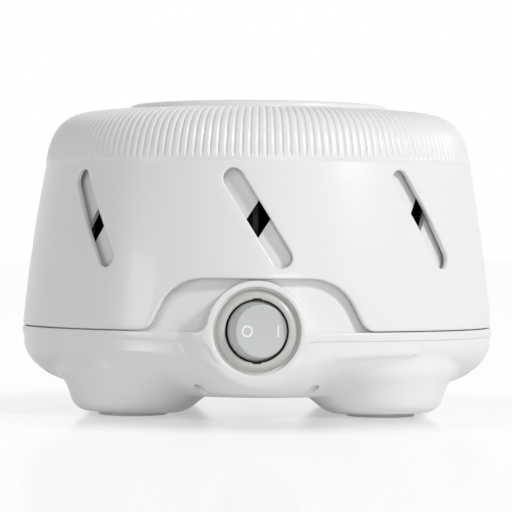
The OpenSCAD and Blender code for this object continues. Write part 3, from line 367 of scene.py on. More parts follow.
class Shell:
    """Points in millimetres and the faces between them, which become one closed mesh."""

    def __init__(self):
        self.points = []
        self.faces = []

    def add(self, points):
        """Adds points and returns their numbers."""
        start = len(self.points)
        self.points.extend(tuple(point) for point in points)
        return list(range(start, len(self.points)))

    def strip(self, near, far, closed=True):
        """Faces between two lines with as many points."""
        count = len(near)
        for i in range(count if closed else count - 1):
            n = (i + 1) % count
            self.faces.append((near[i], near[n], far[n], far[i]))

    def skin(self, rows, closed=True):
        """Faces between each line and the next."""
        for near, far in zip(rows, rows[1:]):
            self.strip(near, far, closed)

    def ring(self, turns, r, z):
        """Adds points at the given turns round the upright axis, all at one radius and height."""
        return self.add(around(r, turn, z) for turn in turns)

    def fan(self, ring, centre):
        """Faces from a ring to one point."""
        hub = self.add([centre])[0]
        for i in range(len(ring)):
            self.faces.append((ring[i], ring[(i + 1) % len(ring)], hub))

    def zipped(self, near, far):
        """Faces between two rings round the upright axis that have different numbers of points."""
        progress = []
        for ring in (near, far):
            turns = np.unwrap([math.atan2(self.points[i][1], self.points[i][0]) for i in ring])
            last = turns[0] + 2 * math.pi * np.sign(turns[1] - turns[0])
            progress.append(np.append(turns, last) - turns[0])
        a, b = 0, 0
        while a < len(near) or b < len(far):
            here, there = near[a % len(near)], far[b % len(far)]
            if b == len(far) or (a < len(near) and abs(progress[0][a + 1]) <= abs(progress[1][b + 1])):
                self.faces.append((here, near[(a + 1) % len(near)], there))
                a += 1
            else:
                self.faces.append((here, far[(b + 1) % len(far)], there))
                b += 1

    def take(self, mesh):
        """Adds a copy of a mesh's points and faces."""
        co = np.empty(len(mesh.vertices) * 3)
        mesh.vertices.foreach_get("co", co)
        start = len(self.points)
        self.points.extend(map(tuple, co.reshape(-1, 3) / MM))
        self.faces.extend(tuple(start + i for i in face.vertices) for face in mesh.polygons)

    def mesh(self, name):
        """The points and faces as a Blender mesh in metres."""
        mesh = bpy.data.meshes.new(name)
        mesh.from_pydata((np.array(self.points) * MM).tolist(), [], self.faces)
        return mesh


def around(r, turn, z):
    """A point round the upright axis; turn 0 is the front."""
    return (r * math.sin(turn), -r * math.cos(turn), z)


def upright(x=0, y=0):
    """Places a turned profile round an upright axis; angle 0 is the front."""
    return lambda r, a, h: (x + r * math.sin(a), y - r * math.cos(a), h)


def facing(z, side=-1):
    """Places a turned profile round an axis along Y, with its heights measured outwards."""
    return lambda r, a, out: (r * math.sin(a), side * out, z + r * math.cos(a))


def ring_turns(columns):
    """Evenly spaced turns all the way round, the first at 0."""
    return [2 * math.pi * i / columns for i in range(columns)]


def turned(shell, profile, place, columns=128, loop=False):
    """Adds a profile of (radius, height) points, turned all the way round."""
    turns = ring_turns(columns)
    rings = []
    for radius, height in profile:
        if radius > ON_AXIS:
            rings.append(shell.add(place(radius, a, height) for a in turns))
        elif rings:
            shell.fan(rings[-1], place(0, 0, height))
        else:
            pole = place(0, 0, height)
    shell.skin(rings + rings[:1] if loop else rings)
    if not loop and profile[0][0] <= ON_AXIS:
        shell.fan(rings[0], pole)


def mended(mesh):
    """Closes a mesh's seams, drops what has no size and turns its faces outwards."""
    work = bmesh.new()
    work.from_mesh(mesh)
    bmesh.ops.remove_doubles(work, verts=work.verts, dist=WELD)
    bmesh.ops.dissolve_degenerate(work, edges=work.edges, dist=WELD / 2)
    bmesh.ops.recalc_face_normals(work, faces=work.faces)
    work.to_mesh(mesh)
    work.free()
    return mesh


def put(name, shell, body, slot, replaces=(), crease=32, finish=None):
    """Makes a piece that rides on a body, from a shell or a mesh. crease is in degrees."""
    mesh = mended(shell.mesh(name) if isinstance(shell, Shell) else shell)
    mesh.name = name
    mesh.shade_smooth()
    mesh.set_sharp_from_angle(angle=math.radians(crease))
    mesh.materials.clear()
    mesh.materials.append(finish_of(finish or slot))
    piece = bpy.data.objects.new(name, mesh)
    bpy.context.scene.collection.objects.link(piece)
    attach(piece, body)
    if replaces:
        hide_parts(*replaces)


def put_turned(name, profile, place, columns, body, slot, replaces=(), loop=False, **looks):
    """Makes a piece that is one profile turned all the way round."""
    shell = Shell()
    turned(shell, profile, place, columns, loop)
    put(name, shell, body, slot, replaces, **looks)


# ---- Sheets that are laid out flat, cut, and bent into place ----

ROLL_STEPS = 4  # steps of a rolled edge


class Sheet:
    """A sheet laid out flat. Lines carry the depth that the rolled edges sink to."""

    def __init__(self):
        self.numbers = {}
        self.places = []
        self.depths = []
        self.edges = []
        self.outline = []
        self.cuts = []
        self.faces = None

    def line(self, points, depth=0.0, closed=False):
        """Adds a line that the triangles follow and returns its points' numbers."""
        row = []
        for (u, v), sunk in zip(points, np.broadcast_to(depth, len(points))):
            key = (round(u, 5), round(v, 5))
            if key not in self.numbers:
                self.numbers[key] = len(self.places)
                self.places.append(key)
                self.depths.append(float(sunk))
            row.append(self.numbers[key])
        self.edges += list(zip(row, row[1:] + row[:1] if closed else row[1:]))
        return row

    def rolled(self, points, radius, closed=False):
        """Adds an edge that rolls over to its left by a quarter circle; returns the edge's own line."""
        points = np.array(points, float)
        normals = left_normals(points, closed)
        radius = np.broadcast_to(radius, len(points))
        rows = []
        for k in range(ROLL_STEPS + 1):
            a = math.pi / 2 * k / ROLL_STEPS
            offset, depth = radius * (1 - math.cos(a)), radius * (1 - math.sin(a))
            rows.append(self.line(points + normals * offset[:, None], depth, closed))
        return rows[0]

    def cut(self, points, radius):
        """Adds a closed hole, whose points run clockwise, with a rolled edge."""
        row = self.rolled(points, radius, closed=True)
        self.cuts.append(row)
        return row

    def framed(self, bottom, top, side):
        """Sets the outline: a bottom row, then straight sides up to a top of the given us."""
        left, right = (self.places[bottom[i]][0] for i in (0, -1))
        self.outline = (
            bottom
            + self.line([(right, v) for v in side])[1:]
            + self.line([(u, side[-1]) for u in reversed(top)])[1:]
            + self.line([(left, v) for v in reversed(side)])[1:-1]
        )

    def inside(self, spots):
        """Which spots lie on the sheet and in none of its cuts."""
        kept = crossings(spots, self.loop(self.outline))
        for row in self.cuts:
            kept &= ~crossings(spots, self.loop(row))
        return kept

    def loop(self, row):
        """The places of a row's points."""
        return np.array([self.places[i] for i in row])

    def fill(self, spacing):
        """Adds an even grid of points and splits the sheet into triangles."""
        fixed = np.array(self.places)
        lows, highs = fixed.min(axis=0), fixed.max(axis=0)
        rows = []
        row_pitch, nearest, batch = 0.87 * spacing, 0.62 * spacing, 400
        for j, v in enumerate(np.arange(lows[1], highs[1], row_pitch)):
            us = np.arange(lows[0] + spacing / 2 * (j % 2), highs[0], spacing)
            rows.append(np.stack([us, np.full_like(us, v)], axis=1))
        grid = np.concatenate(rows)
        grid = grid[self.inside(grid)]
        gap = np.concatenate([
            np.min(np.linalg.norm(part[:, None] - fixed[None], axis=2), axis=1)
            for part in np.array_split(grid, 1 + len(grid) // batch)
        ])
        loose = grid[gap > nearest].tolist()
        self.places += loose
        self.depths += [0.0] * len(loose)
        points = [tuple(p) for p in self.places]
        done = delaunay_2d_cdt(points, self.edges, [], 0, 1e-7, True)
        if len(done[0]) != len(points):
            raise RuntimeError(f"the sheet crossed itself: {len(points)} points became {len(done[0])}")
        origin = [ids[0] for ids in done[3]]
        faces = np.array([[origin[i] for i in face] for face in done[2]])
        flat = np.array(self.places)
        self.faces = faces[self.inside(flat[faces].mean(axis=1))]

    def bend(self, shell, place):
        """Adds the sheet's outer and inner faces; place gives a point from (u, v, depth, inner)."""
        both = []
        for inner in (False, True):
            numbers = shell.add(place(u, v, d, inner) for (u, v), d in zip(self.places, self.depths))
            shell.faces.extend(tuple(numbers[i] for i in face) for face in self.faces.tolist())
            both.append(numbers)
        return both


def crossings(spots, loop):
    """Which spots lie inside a closed loop."""
    ends = np.roll(loop, -1, axis=0)
    found = np.zeros(len(spots), bool)
    for (x0, y0), (x1, y1) in zip(loop, ends):
        if y0 != y1:
            between = (spots[:, 1] < y0) != (spots[:, 1] < y1)
            found ^= between & (spots[:, 0] < x0 + (spots[:, 1] - y0) * (x1 - x0) / (y1 - y0))
    return found


def picked(numbers, row):
    """The numbers that a row of places stands for."""
    return [numbers[i] for i in row]


def wall_between(shell, both, row, closed=True):
    """Closes the wall between a sheet's two faces along one of its lines."""
    shell.strip(picked(both[0], row), picked(both[1], row), closed)


# ---- Node trees ----

class Value:
    """What a socket gives on its way through a node tree, so that sums can be written as sums."""

    def __init__(self, nodes, socket):
        self.nodes = nodes
        self.socket = socket

    def sum(self, operation, other, reflected=False):
        """A sum of this value and another value or number, which comes first if reflected."""
        first, second = (other, self) if reflected else (self, other)
        return self.nodes.node("ShaderNodeMath", {"operation": operation}, {0: first, 1: second})

    def __add__(self, other):
        return self.sum("ADD", other)

    def __radd__(self, other):
        return self.sum("ADD", other, reflected=True)

    def __sub__(self, other):
        return self.sum("SUBTRACT", other)

    def __rsub__(self, other):
        return self.sum("SUBTRACT", other, reflected=True)

    def __mul__(self, other):
        return self.sum("MULTIPLY", other)

    def __rmul__(self, other):
        return self.sum("MULTIPLY", other, reflected=True)

    def __truediv__(self, other):
        return self.sum("DIVIDE", other)

    def __rtruediv__(self, other):
        return self.sum("DIVIDE", other, reflected=True)


class Nodes:
    """A node tree under construction."""

    def __init__(self, tree):
        self.tree = tree

    def node(self, kind, settings=None, inputs=None, output=0):
        """Adds a node: its settings first, then its inputs; returns one of its outputs."""
        made = self.tree.nodes.new(kind)
        for key, value in (settings or {}).items():
            setattr(made, key, value)
        for key, value in (inputs or {}).items():
            self.feed(made.inputs[key], value)
        return Value(self, made.outputs[output])

    def feed(self, socket, value):
        """Links a value to a socket, or sets the socket where it is a plain number or colour."""
        if isinstance(value, Value):
            self.tree.links.new(value.socket, socket)
        else:
            socket.default_value = value


# ---- Modifiers and repeats round the axis ----

def evaluated(thing):
    """The mesh that an object's modifiers make; the object itself goes."""
    graph = bpy.context.evaluated_depsgraph_get()
    mesh = bpy.data.meshes.new_from_object(thing.evaluated_get(graph))
    thing.modifiers.clear()
    bpy.data.objects.remove(thing)
    return mesh


def repeated_round(name, shell, copies):
    """One plain mesh of a shell repeated round the upright axis and welded at its seams."""
    tree = bpy.data.node_groups.new(name, "GeometryNodeTree")
    kinds = {"Geometry": "Geometry", "Copies": "Int", "Weld": "Float", "Finish": "Material"}
    sockets = {
        label: tree.interface.new_socket(label, in_out="INPUT", socket_type="NodeSocket" + kind).identifier
        for label, kind in kinds.items()
    }
    tree.interface.new_socket("Geometry", in_out="OUTPUT", socket_type="NodeSocketGeometry")
    nodes = Nodes(tree)
    given = {label: nodes.node("NodeGroupInput", output=label) for label in kinds}
    points = nodes.node("GeometryNodePoints", None, {"Count": given["Copies"]})
    turn = nodes.node("GeometryNodeInputIndex") * (2 * math.pi / given["Copies"])
    euler = nodes.node("ShaderNodeCombineXYZ", None, {"Z": turn})
    rotation = nodes.node("FunctionNodeEulerToRotation", None, {0: euler})
    placed = nodes.node("GeometryNodeInstanceOnPoints", None, {
        "Points": points, "Instance": given["Geometry"], "Rotation": rotation})
    real = nodes.node("GeometryNodeRealizeInstances", None, {0: placed})
    welded = nodes.node("GeometryNodeMergeByDistance", None, {"Geometry": real, "Distance": given["Weld"]})
    dressed = nodes.node("GeometryNodeSetMaterial", None, {"Geometry": welded, "Material": given["Finish"]})
    nodes.feed(tree.nodes.new("NodeGroupOutput").inputs[0], dressed)

    cell = bpy.data.objects.new(name, shell.mesh(name))
    bpy.context.scene.collection.objects.link(cell)
    modifier = cell.modifiers.new(name, "NODES")
    modifier.node_group = tree
    for label, value in (("Copies", copies), ("Weld", WELD), ("Finish", finish_of("white_shell"))):
        modifier[sockets[label]] = value
    return evaluated(cell)


# ---- Finishes ----

class Finish(Nodes):
    """A material under construction, with its Principled shader ready."""

    def __init__(self, name):
        self.material = bpy.data.materials.new(name)
        self.material.use_nodes = True
        super().__init__(self.material.node_tree)
        self.shader = self.tree.nodes["Principled BSDF"]
        self.output = self.tree.nodes["Material Output"]

    def set(self, **inputs):
        """Feeds the shader's own sockets, with _ for a space in their names."""
        for key, value in inputs.items():
            self.feed(self.shader.inputs[key.replace("_", " ")], value)

    def place(self):
        """The piece's own coordinates."""
        return self.node("ShaderNodeTexCoord", output="Object")

    def noise(self, scale, detail=2.0, rough=0.5, stretch=(1.0, 1.0, 1.0)):
        """Noise whose grains are about 1 / scale metres, finer along an axis with a larger stretch."""
        place = self.node("ShaderNodeMapping", None, {"Vector": self.place(), "Scale": stretch})
        return self.node("ShaderNodeTexNoise", None, {
            "Vector": place, "Scale": scale, "Detail": detail, "Roughness": rough})

    def mix(self, share, first, second):
        """One colour turning into another."""
        return self.node("ShaderNodeMix", {"data_type": "RGBA"}, {0: share, 6: first, 7: second}, 2)

    def bump(self, height, distance, strength=1.0):
        """A bump of that height, its distance in millimetres."""
        return self.node("ShaderNodeBump", None, {
            "Height": height, "Distance": distance * MM, "Strength": strength})


def rgba(colour, level=1.0):
    """A colour at a level of brightness, with its alpha."""
    return (*(min(1.0, c * level) for c in colour), 1.0)


def moulded(name, colour, roughness, coat=0.0, grain=0.012):
    """Moulded plastic: a soft gloss with faint flow marks and a very fine orange peel."""
    finish = Finish(name)
    flow = finish.noise(22.0, 3.0)
    fine = finish.noise(900.0, 2.0)
    peel = finish.noise(2600.0, 2.0, 0.6)
    finish.set(
        Base_Color=finish.mix(flow * 0.6 + fine * 0.15, rgba(colour, 0.985), rgba(colour, 1.012)),
        Roughness=(flow - 0.5) * 0.08 + (fine - 0.5) * 0.05 + roughness,
        IOR=1.5,
        Coat_Weight=coat,
        Coat_Roughness=0.08,
        Normal=finish.bump(peel + flow * 0.8, grain),
    )
    return finish.material


def metal(name, colour, roughness, stretch, tone=0.9):
    """Bare or plated metal, with fine drawn or pressed lines along one axis."""
    finish = Finish(name)
    lines = finish.noise(700.0, 3.0, stretch=stretch)
    stain = finish.noise(60.0, 3.0)
    finish.set(
        Base_Color=finish.mix(stain, rgba(colour, tone), rgba(colour, 1.06)),
        Metallic=1.0,
        Roughness=(lines - 0.5) * 0.16 + (stain - 0.5) * 0.08 + roughness,
        Normal=finish.bump(lines, 0.01),
    )
    return finish.material


def layered(name, colour, roughness, pitch, axis, metallic, depth):
    """Stacked sheets or wound wire: even lines across one axis, pitch in millimetres."""
    finish = Finish(name)
    part = finish.node("ShaderNodeSeparateXYZ", None, {"Vector": finish.place()}, axis)
    wave = (part / (pitch * MM)).sum("PINGPONG", 0.5) * 2.0
    stain = finish.noise(90.0, 3.0)
    share = (wave * 0.6 + stain * 0.4).sum("MINIMUM", 1.0).sum("MAXIMUM", 0.0)
    finish.set(
        Base_Color=finish.mix(share, rgba(colour, 0.7), rgba(colour, 1.1)),
        Metallic=metallic,
        Roughness=(stain - 0.5) * 0.15 + roughness,
        Normal=finish.bump(wave, depth),
    )
    return finish.material


def rubber(name, colour, roughness, clear=0.0):
    """Soft rubber, matt and a little dusty; clear gives a milky see-through rubber."""
    finish = Finish(name)
    dust = finish.noise(180.0, 4.0)
    grain = finish.noise(1500.0, 2.0)
    finish.set(
        Base_Color=finish.mix(dust, rgba(colour, 0.92), rgba(colour, 1.06)),
        Roughness=(dust - 0.5) * 0.12 + roughness,
        IOR=1.45,
        Transmission_Weight=clear,
        Normal=finish.bump(grain, 0.02),
    )
    return finish.material


def make_finishes():
    """Every finish of the machine, by the name of its slot or of its own piece."""
    tones = {row["slot"]: row["base_color"] for row in frame["record"]["materials"]}
    look = sizes("finish")
    # Each finish with the function that makes it and that function's values in their order.
    recipes = {
        "white_shell": (moulded, look.shell, look.shell_roughness, 0.25),
        "switch_grey": (moulded, look.switch, 0.36, 0.1, 0.008),
        "rocker_grey": (moulded, look.rocker, 0.4, 0.0, 0.008),
        "mark_white": (moulded, look.mark, 0.45, 0.0, 0.004),
        "natural_nylon": (moulded, tones["natural_nylon"], 0.45),
        "fan_black": (moulded, tones["fan_black"], 0.42),
        "lead_black": (moulded, tones["lead_black"], 0.5),
        "lead_white": (moulded, tones["lead_white"], 0.5),
        "clear_rubber": (rubber, look.pad, 0.3, 0.3),
        "black_rubber": (rubber, tones["black_rubber"], 0.6),
        "bright_steel": (metal, tones["bright_steel"], 0.25, (1.0, 1.0, 12.0)),
        "zinc_plate": (metal, tones["zinc_plate"], 0.34, (8.0, 1.0, 1.0)),
        "contact_brass": (metal, tones["contact_brass"], 0.3, (1.0, 8.0, 1.0)),
        "bearing_bronze": (metal, tones["bearing_bronze"], 0.45, (1.0, 1.0, 1.0), 0.75),
        "bare_copper": (metal, tones["bare_copper"], 0.3, (1.0, 6.0, 1.0), 0.8),
        "lamination_steel": (layered, tones["lamination_steel"], 0.42, 0.65, "Z", 0.9, 0.08),
        "enamelled_wire": (layered, tones["enamelled_wire"], 0.28, 0.3, "Y", 0.6, 0.1),
    }
    return {name: make(name, *values) for name, (make, *values) in recipes.items()}


FINISHES = {}


def finish_of(name):
    """A finish by name; all are made on first use."""
    if not FINISHES:
        FINISHES.update(make_finishes())
    return FINISHES[name]


# ---- Hood and drum ----

UNROLL_R = 70.0  # the radius at which the side is laid out flat
SIDE_STEP = 1.25  # degrees between the columns of a plain side
SIDE_GRID = 1.5  # spacing of the points inside a sheet of the side
FRONT_U = math.radians(45) * UNROLL_R  # half the width of the flat sheet round the notch
NOTCH_JOIN_Z = 42.5  # where the notched foot ends and the slotted side starts
BAND_JOIN = 1.3  # how far under the skirt's top the slotted side ends and the ribbed band starts
# Where the columns of one rib cell stand, its valley in the middle, as shares of the pitch.
RIB_COLUMNS = (-0.5, -0.36, -0.25, -0.17, -0.085, 0.0, 0.085, 0.17, 0.25, 0.36, 0.5)


def skirt_r(z, hood):
    """Radius of the hood's smooth side at a height."""
    t = (z - HOOD_LOW_Z) / (hood.skirt_top_z - HOOD_LOW_Z)
    return HOOD_R * (1 - t) + hood.skirt_top_r * t + 2 * hood.skirt_belly * t * (1 - t)


def shoulder_line(hood, inset=0.0, steps=24):
    """The shoulder in section, from the skirt's top to the flat top."""
    shorter = 0.55 * inset
    start = (hood.skirt_top_r - inset, hood.skirt_top_z)
    end = (hood.shoulder_r, HOOD_TOP_Z - inset)
    # The curve's handles: it rises with a slight lean inwards, and comes in level at the top.
    lean, rise = 1.7, 0.9 * (HOOD_TOP_Z - hood.skirt_top_z) - shorter
    run = 0.5 * (hood.skirt_top_r - hood.shoulder_r) - shorter
    return curve(start, (start[0] - lean, start[1] + rise), (end[0] + run, end[1]), end, steps)


def unrolled(x, z, hood):
    """How far along the flat sheet a point of the side at x and z lies."""
    return math.asin(x / skirt_r(z, hood)) * UNROLL_R


def hood_wall(hood):
    """Gives the function that bends a flat point of the side on to the wall's outside or inside."""
    def place(u, z, depth, inner):
        return around(skirt_r(z, hood) - (hood.wall - depth if inner else depth), u / UNROLL_R, z)
    return place


def sector_turns(start, end):
    """Turns from start to end in degrees, both included, for a plain side."""
    return [math.radians(t) for t in np.linspace(start, end, round((end - start) / SIDE_STEP) + 1)]


def slot_outline(hood):
    """A leaning slot with round ends, unrolled, its points running clockwise."""
    end_r, reach = hood.slot_width / 2, (hood.slot_length - hood.slot_width) / 2
    straight = arc((0, reach), end_r, 180, 0, 14) + arc((0, -reach), end_r, 0, -180, 14)
    c, s = math.cos(hood.slot_lean), math.sin(hood.slot_lean)
    line, step = [], 0.6
    for x, y in resampled(straight + straight[:1], step)[:-1]:
        z = hood.slot_z + x * s + y * c
        line.append((unrolled(x * c - y * s, z, hood), z))
    return line


def slotted_side(hood, join_z, top_turns):
    """The slotted part of the side up to join_z, drawn once round one slot and repeated."""
    sector = 360 / hood.slot_count
    sheet = Sheet()
    bottom = sheet.line([(t * UNROLL_R, NOTCH_JOIN_Z) for t in sector_turns(-sector / 2, sector / 2)])
    side = np.linspace(NOTCH_JOIN_Z, join_z, round((join_z - NOTCH_JOIN_Z) / 1.6) + 1)
    sheet.framed(bottom, [t * UNROLL_R for t in top_turns], side)
    sheet.cut(slot_outline(hood), hood.edge)
    sheet.fill(SIDE_GRID)
    shell = Shell()
    both = sheet.bend(shell, hood_wall(hood))
    wall_between(shell, both, sheet.cuts[0])
    return repeated_round("hood_slots", shell, hood.slot_count)


def rib_cell(hood, ribs):
    """One valley of the ribbed band with half a rib on each side."""
    pitch = 2 * math.pi / ribs.count
    below = [(skirt_r(z, hood), z) for z in np.linspace(hood.skirt_top_z - BAND_JOIN, hood.skirt_top_z, 5)]
    line = np.array(below[:-1] + shoulder_line(hood))
    along = np.concatenate([[0], np.cumsum(np.linalg.norm(np.diff(line, axis=0), axis=1))]) - BAND_JOIN
    end = along[-1]
    places = np.concatenate([
        np.linspace(-BAND_JOIN, 0, 5)[:-1], np.linspace(0, ribs.tip, 8)[:-1],
        np.linspace(ribs.tip, end, 15),
    ])
    spine = np.stack([np.interp(places, along, line[:, k]) for k in (0, 1)], axis=1)
    outwards = -left_normals(spine, False)
    # The band steps out over a short way at the skirt's top and thins to nothing at its end.
    proud = ribs.proud * smooth_step(places, -0.7, 0.5) * (1 - np.clip(places / end, 0, 1))
    lead = 0.15  # a valley's point starts this far under the skirt's top
    opening = np.sqrt(np.clip((places + lead) / ribs.tip, 0, 1))
    half = np.maximum(opening * ribs.valley_width / 2, 0.02)
    depth = ribs.valley_depth * smooth_step(places, -lead, 0.8 * ribs.tip)
    depth = depth * (1 - smooth_step(places, end - ribs.fade, end - 0.5))
    shell = Shell()
    columns = []
    for share in RIB_COLUMNS:
        across = abs(share) * pitch * spine[:, 0]
        valley = depth * (0.5 + 0.5 * np.cos(np.pi * np.clip(across / half, 0, 1)))
        crown = ribs.land_crown * (1 - smooth_step(0.5 - abs(share), 0.0, 0.32)) * depth / ribs.valley_depth
        points = spine + outwards * (proud - valley + crown)[:, None]
        columns.append(shell.add(around(r, share * pitch, z) for r, z in points))
    shell.skin(columns, closed=False)
    return shell


def band_turns(ribs, sector):
    """The turns of the ribbed band's columns across one sector of the side."""
    pitch = 2 * math.pi / ribs.count
    turns = {round((k + c) * pitch, 9) for k in range(-ribs.count, ribs.count) for c in RIB_COLUMNS}
    return sorted(t for t in turns if -sector / 2 - 1e-6 <= t <= sector / 2 + 1e-6)


def notch_line(hood):
    """The hood's bottom edge with its notch, from left to right, unrolled."""
    step, lead_step = 0.7, 1.3
    corner = arc((hood.notch_flat, hood.notch_top_z - hood.notch_corner), hood.notch_corner,
                 90, math.degrees(hood.notch_lean), 16)
    last = corner[-1]
    lean, foot = hood.notch_lean, hood.notch_foot
    foot_start_z = HOOD_LOW_Z + foot * (1 - math.sin(lean))
    foot_x = last[0] + (last[1] - foot_start_z) * math.tan(lean) + foot * math.cos(lean)
    right = corner + arc((foot_x, HOOD_LOW_Z + foot), foot, 180 + math.degrees(lean), 270, 10)
    both = resampled([(-x, z) for x, z in reversed(right)] + right, step)
    notch = [(unrolled(x, z, hood), z) for x, z in both]
    lead_in = resampled([(-FRONT_U, HOOD_LOW_Z), notch[0]], lead_step)[:-1]
    lead_out = resampled([notch[-1], (FRONT_U, HOOD_LOW_Z)], lead_step)[1:]
    return np.concatenate([lead_in, np.array(notch), lead_out])


def notched_side(shell, hood):
    """The bottom of the hood, with the notch at the front and a plain rolled edge all round."""
    rolls = [math.pi / 2 * k / ROLL_STEPS for k in range(ROLL_STEPS + 1)]
    heights = [HOOD_LOW_Z + hood.edge * (1 - math.cos(a)) for a in rolls]
    depths = [hood.edge * (1 - math.sin(a)) for a in rolls]
    plain = list(np.linspace(heights[-1], NOTCH_JOIN_Z, 11)[1:])
    heights += plain
    depths += [0.0] * len(plain)
    sheet = Sheet()
    bottom = sheet.rolled(notch_line(hood), hood.edge)
    sheet.framed(bottom, [t * UNROLL_R for t in sector_turns(-45, 45)], heights)
    sheet.fill(SIDE_GRID)
    place = hood_wall(hood)
    both = sheet.bend(shell, place)
    wall_between(shell, both, bottom, closed=False)
    turns = [t * UNROLL_R for t in sector_turns(45, 315)]
    rows = [[], []]
    for z, depth in zip(heights, depths):
        for inner in (0, 1):
            rows[inner].append(shell.add(place(u, z, depth, inner) for u in turns))
    shell.skin(rows[0], closed=False)
    shell.skin(rows[1], closed=False)
    shell.strip(rows[0][0], rows[1][0], closed=False)


def make_hood():
    """The outer hood: slotted side, notched foot, ribbed shoulder and flat top."""
    hood, ribs = sizes("hood"), sizes("ribs")
    shell = Shell()
    notched_side(shell, hood)
    join_z = hood.skirt_top_z - BAND_JOIN
    shell.take(slotted_side(hood, join_z, band_turns(ribs, 2 * math.pi / hood.slot_count)))
    shell.take(repeated_round("hood_ribs", rib_cell(hood, ribs), ribs.count))

    pitch = 2 * math.pi / ribs.count
    fine = [k * pitch + c * pitch for k in range(ribs.count) for c in RIB_COLUMNS[:-1]]
    coarse = ring_turns(288)
    inner_r, lip_z, ceiling_z = hood.mouth_r + hood.wall, HOOD_TOP_Z - hood.lip_h, HOOD_TOP_Z - hood.wall
    mouth_edge, flat_start = 0.6, hood.shoulder_r - 1.0
    inside = eased([
        (flat_start, HOOD_TOP_Z), (hood.mouth_r, HOOD_TOP_Z, mouth_edge), (hood.mouth_r, lip_z),
        (inner_r, lip_z), (inner_r, ceiling_z), (hood.shoulder_r, ceiling_z),
    ])
    inside += list(reversed(shoulder_line(hood, hood.wall, 12)))[1:]
    first = shell.ring(fine, hood.shoulder_r, HOOD_TOP_Z)
    rings = [shell.ring(coarse, r, z) for r, z in inside]
    last = shell.ring(fine, skirt_r(join_z, hood) - hood.wall, join_z)
    shell.zipped(first, rings[0])
    shell.skin(rings)
    shell.zipped(rings[-1], last)
    put("outer_hood_skin", shell, "hood", "white_shell", ["outer_hood"])


def make_drum():
    """The drum's own solid, smoothed, with its hole drawn close round the pod."""
    drum = sizes("drum")
    tolerance = 0.03  # how far a point of the hole may be from its exact radius
    shell = Shell()
    shell.take(frame["nodes"]["inner_drum"].data)
    for i, (x, y, z) in enumerate(shell.points):
        away = math.hypot(x, z - SWITCH_Z)
        if y < 0 and abs(away - POD_R - drum.pod_gap) < tolerance:
            closer = (POD_R + drum.seam) / away
            shell.points[i] = (x * closer, y, SWITCH_Z + (z - SWITCH_Z) * closer)
    put("inner_drum_skin", shell, "base", "white_shell", ["inner_drum"], crease=25)


# ---- Cap ----

def make_cap():
    """The cap: a crowned disc with a rounded edge, six vents and a stem."""
    cap = sizes("cap")
    unroll_r = (cap.vent_in_r + cap.vent_out_r) / 2
    half = math.pi / cap.vent_count
    under_z = CAP_TOP_Z - cap.plug_h
    field_r = CAP_R - 2.2 * cap.edge  # the vented field ends here and the rim starts
    plug_r = CAP_R - 2.6  # the part that sits in the hood's mouth
    rim_edge, stem_edge = 0.25, 0.4
    columns = 12  # columns in half a vent's sector
    spokes = [half * (i / columns - 1) for i in range(2 * columns + 1)]

    def top_z(r):
        return CAP_TOP_Z - cap.crown * (r / CAP_R) ** 2

    def place(u, r, depth, inner):
        return around(r, u / unroll_r + half, under_z + depth if inner else top_z(r) - depth)

    sheet = Sheet()
    hub = sheet.line([(a * unroll_r, cap.stem_r) for a in spokes])
    sheet.framed(hub, [a * unroll_r for a in spokes],
                 [cap.stem_r + (field_r - cap.stem_r) * i / 18 for i in range(19)])
    reach = cap.vent_angle / 2 * unroll_r
    corners = ((-reach, cap.vent_in_r), (-reach, cap.vent_out_r), (reach, cap.vent_out_r),
               (reach, cap.vent_in_r))
    vent = eased([(u, r, cap.vent_corner) for u, r in corners], 8)
    sheet.cut(resampled(vent + vent[:1], 0.7)[:-1], cap.vent_edge)
    sheet.fill(1.6)
    cell = Shell()
    both = sheet.bend(cell, place)
    wall_between(cell, both, sheet.cuts[0])

    shell = Shell()
    shell.take(repeated_round("cap_vents", cell, cap.vent_count))
    turns = [half * i / columns for i in range(2 * columns * cap.vent_count)]
    rim_z = top_z(CAP_R) - cap.rim_h + cap.crown
    edge = [(field_r, top_z(field_r))] + eased([
        (CAP_R - cap.edge, top_z(CAP_R - cap.edge)), (CAP_R, top_z(CAP_R), cap.edge),
        (CAP_R, rim_z, rim_edge), (plug_r, rim_z), (plug_r, under_z), (field_r, under_z)], 8)[1:]
    shell.skin([shell.ring(turns, r, z) for r, z in edge])
    shell.fan(shell.ring(turns, cap.stem_r, top_z(cap.stem_r)), (0, 0, CAP_TOP_Z))
    stem = eased([(cap.stem_r, under_z), (cap.stem_r, STEM_END_Z, stem_edge),
                  (cap.screw_r, STEM_END_Z), (cap.screw_r, under_z)], 4)
    rings = [shell.ring(turns, r, z) for r, z in stem]
    shell.skin(rings)
    shell.fan(rings[-1], (0, 0, under_z))
    put("top_cap_skin", shell, "cap", "white_shell", ["top_cap"])


# ---- Base ----

DECK_Z = HOOD_LOW_Z - 0.3  # the top of the rim, under the hood with a gap
ARM_X = 24.0  # half the width of the plate round the switch, where the rim takes over
BEHIND = 0.05  # how far the bowl stays behind the plate's front
LEAST_BLEND = 0.3
FOOT_TOP_GAP = 1.6  # the feet end this far under the top of the bowl
FEET_FADE_Z = 12.0  # from here up the blend between feet and bowl fades
FLARE_Z = (12.0, 19.0)  # between these the pod's front turns from its own flare to the plate's shape
RIM_STEP_Z = (14.0, 20.0)  # between these the step in from the rim's flange sets in
POD_FADE_Z = (16.0, 22.0)  # between these the blend between pod and bowl fades
POD_UNDER, POD_UNDER_EASE = 0.5, 2.0  # how far above the floor the pod ends, and its edge's easing
POD_TAIL = 8.0  # how much deeper than the plate the bowl's share of the pod goes
BOSS_START, BOSS_BLEND = 50.0, 3.0
RECESS_GAP, RECESS_END = 0.6, 60.0  # clearance round the recess, and how deep it cuts the bowl
BOWL_OVERLAP = 0.2  # how far the bowl reaches up into the rim
LEAST_SLOPE = 0.05  # keeps a step on to the surface short where the field is flat


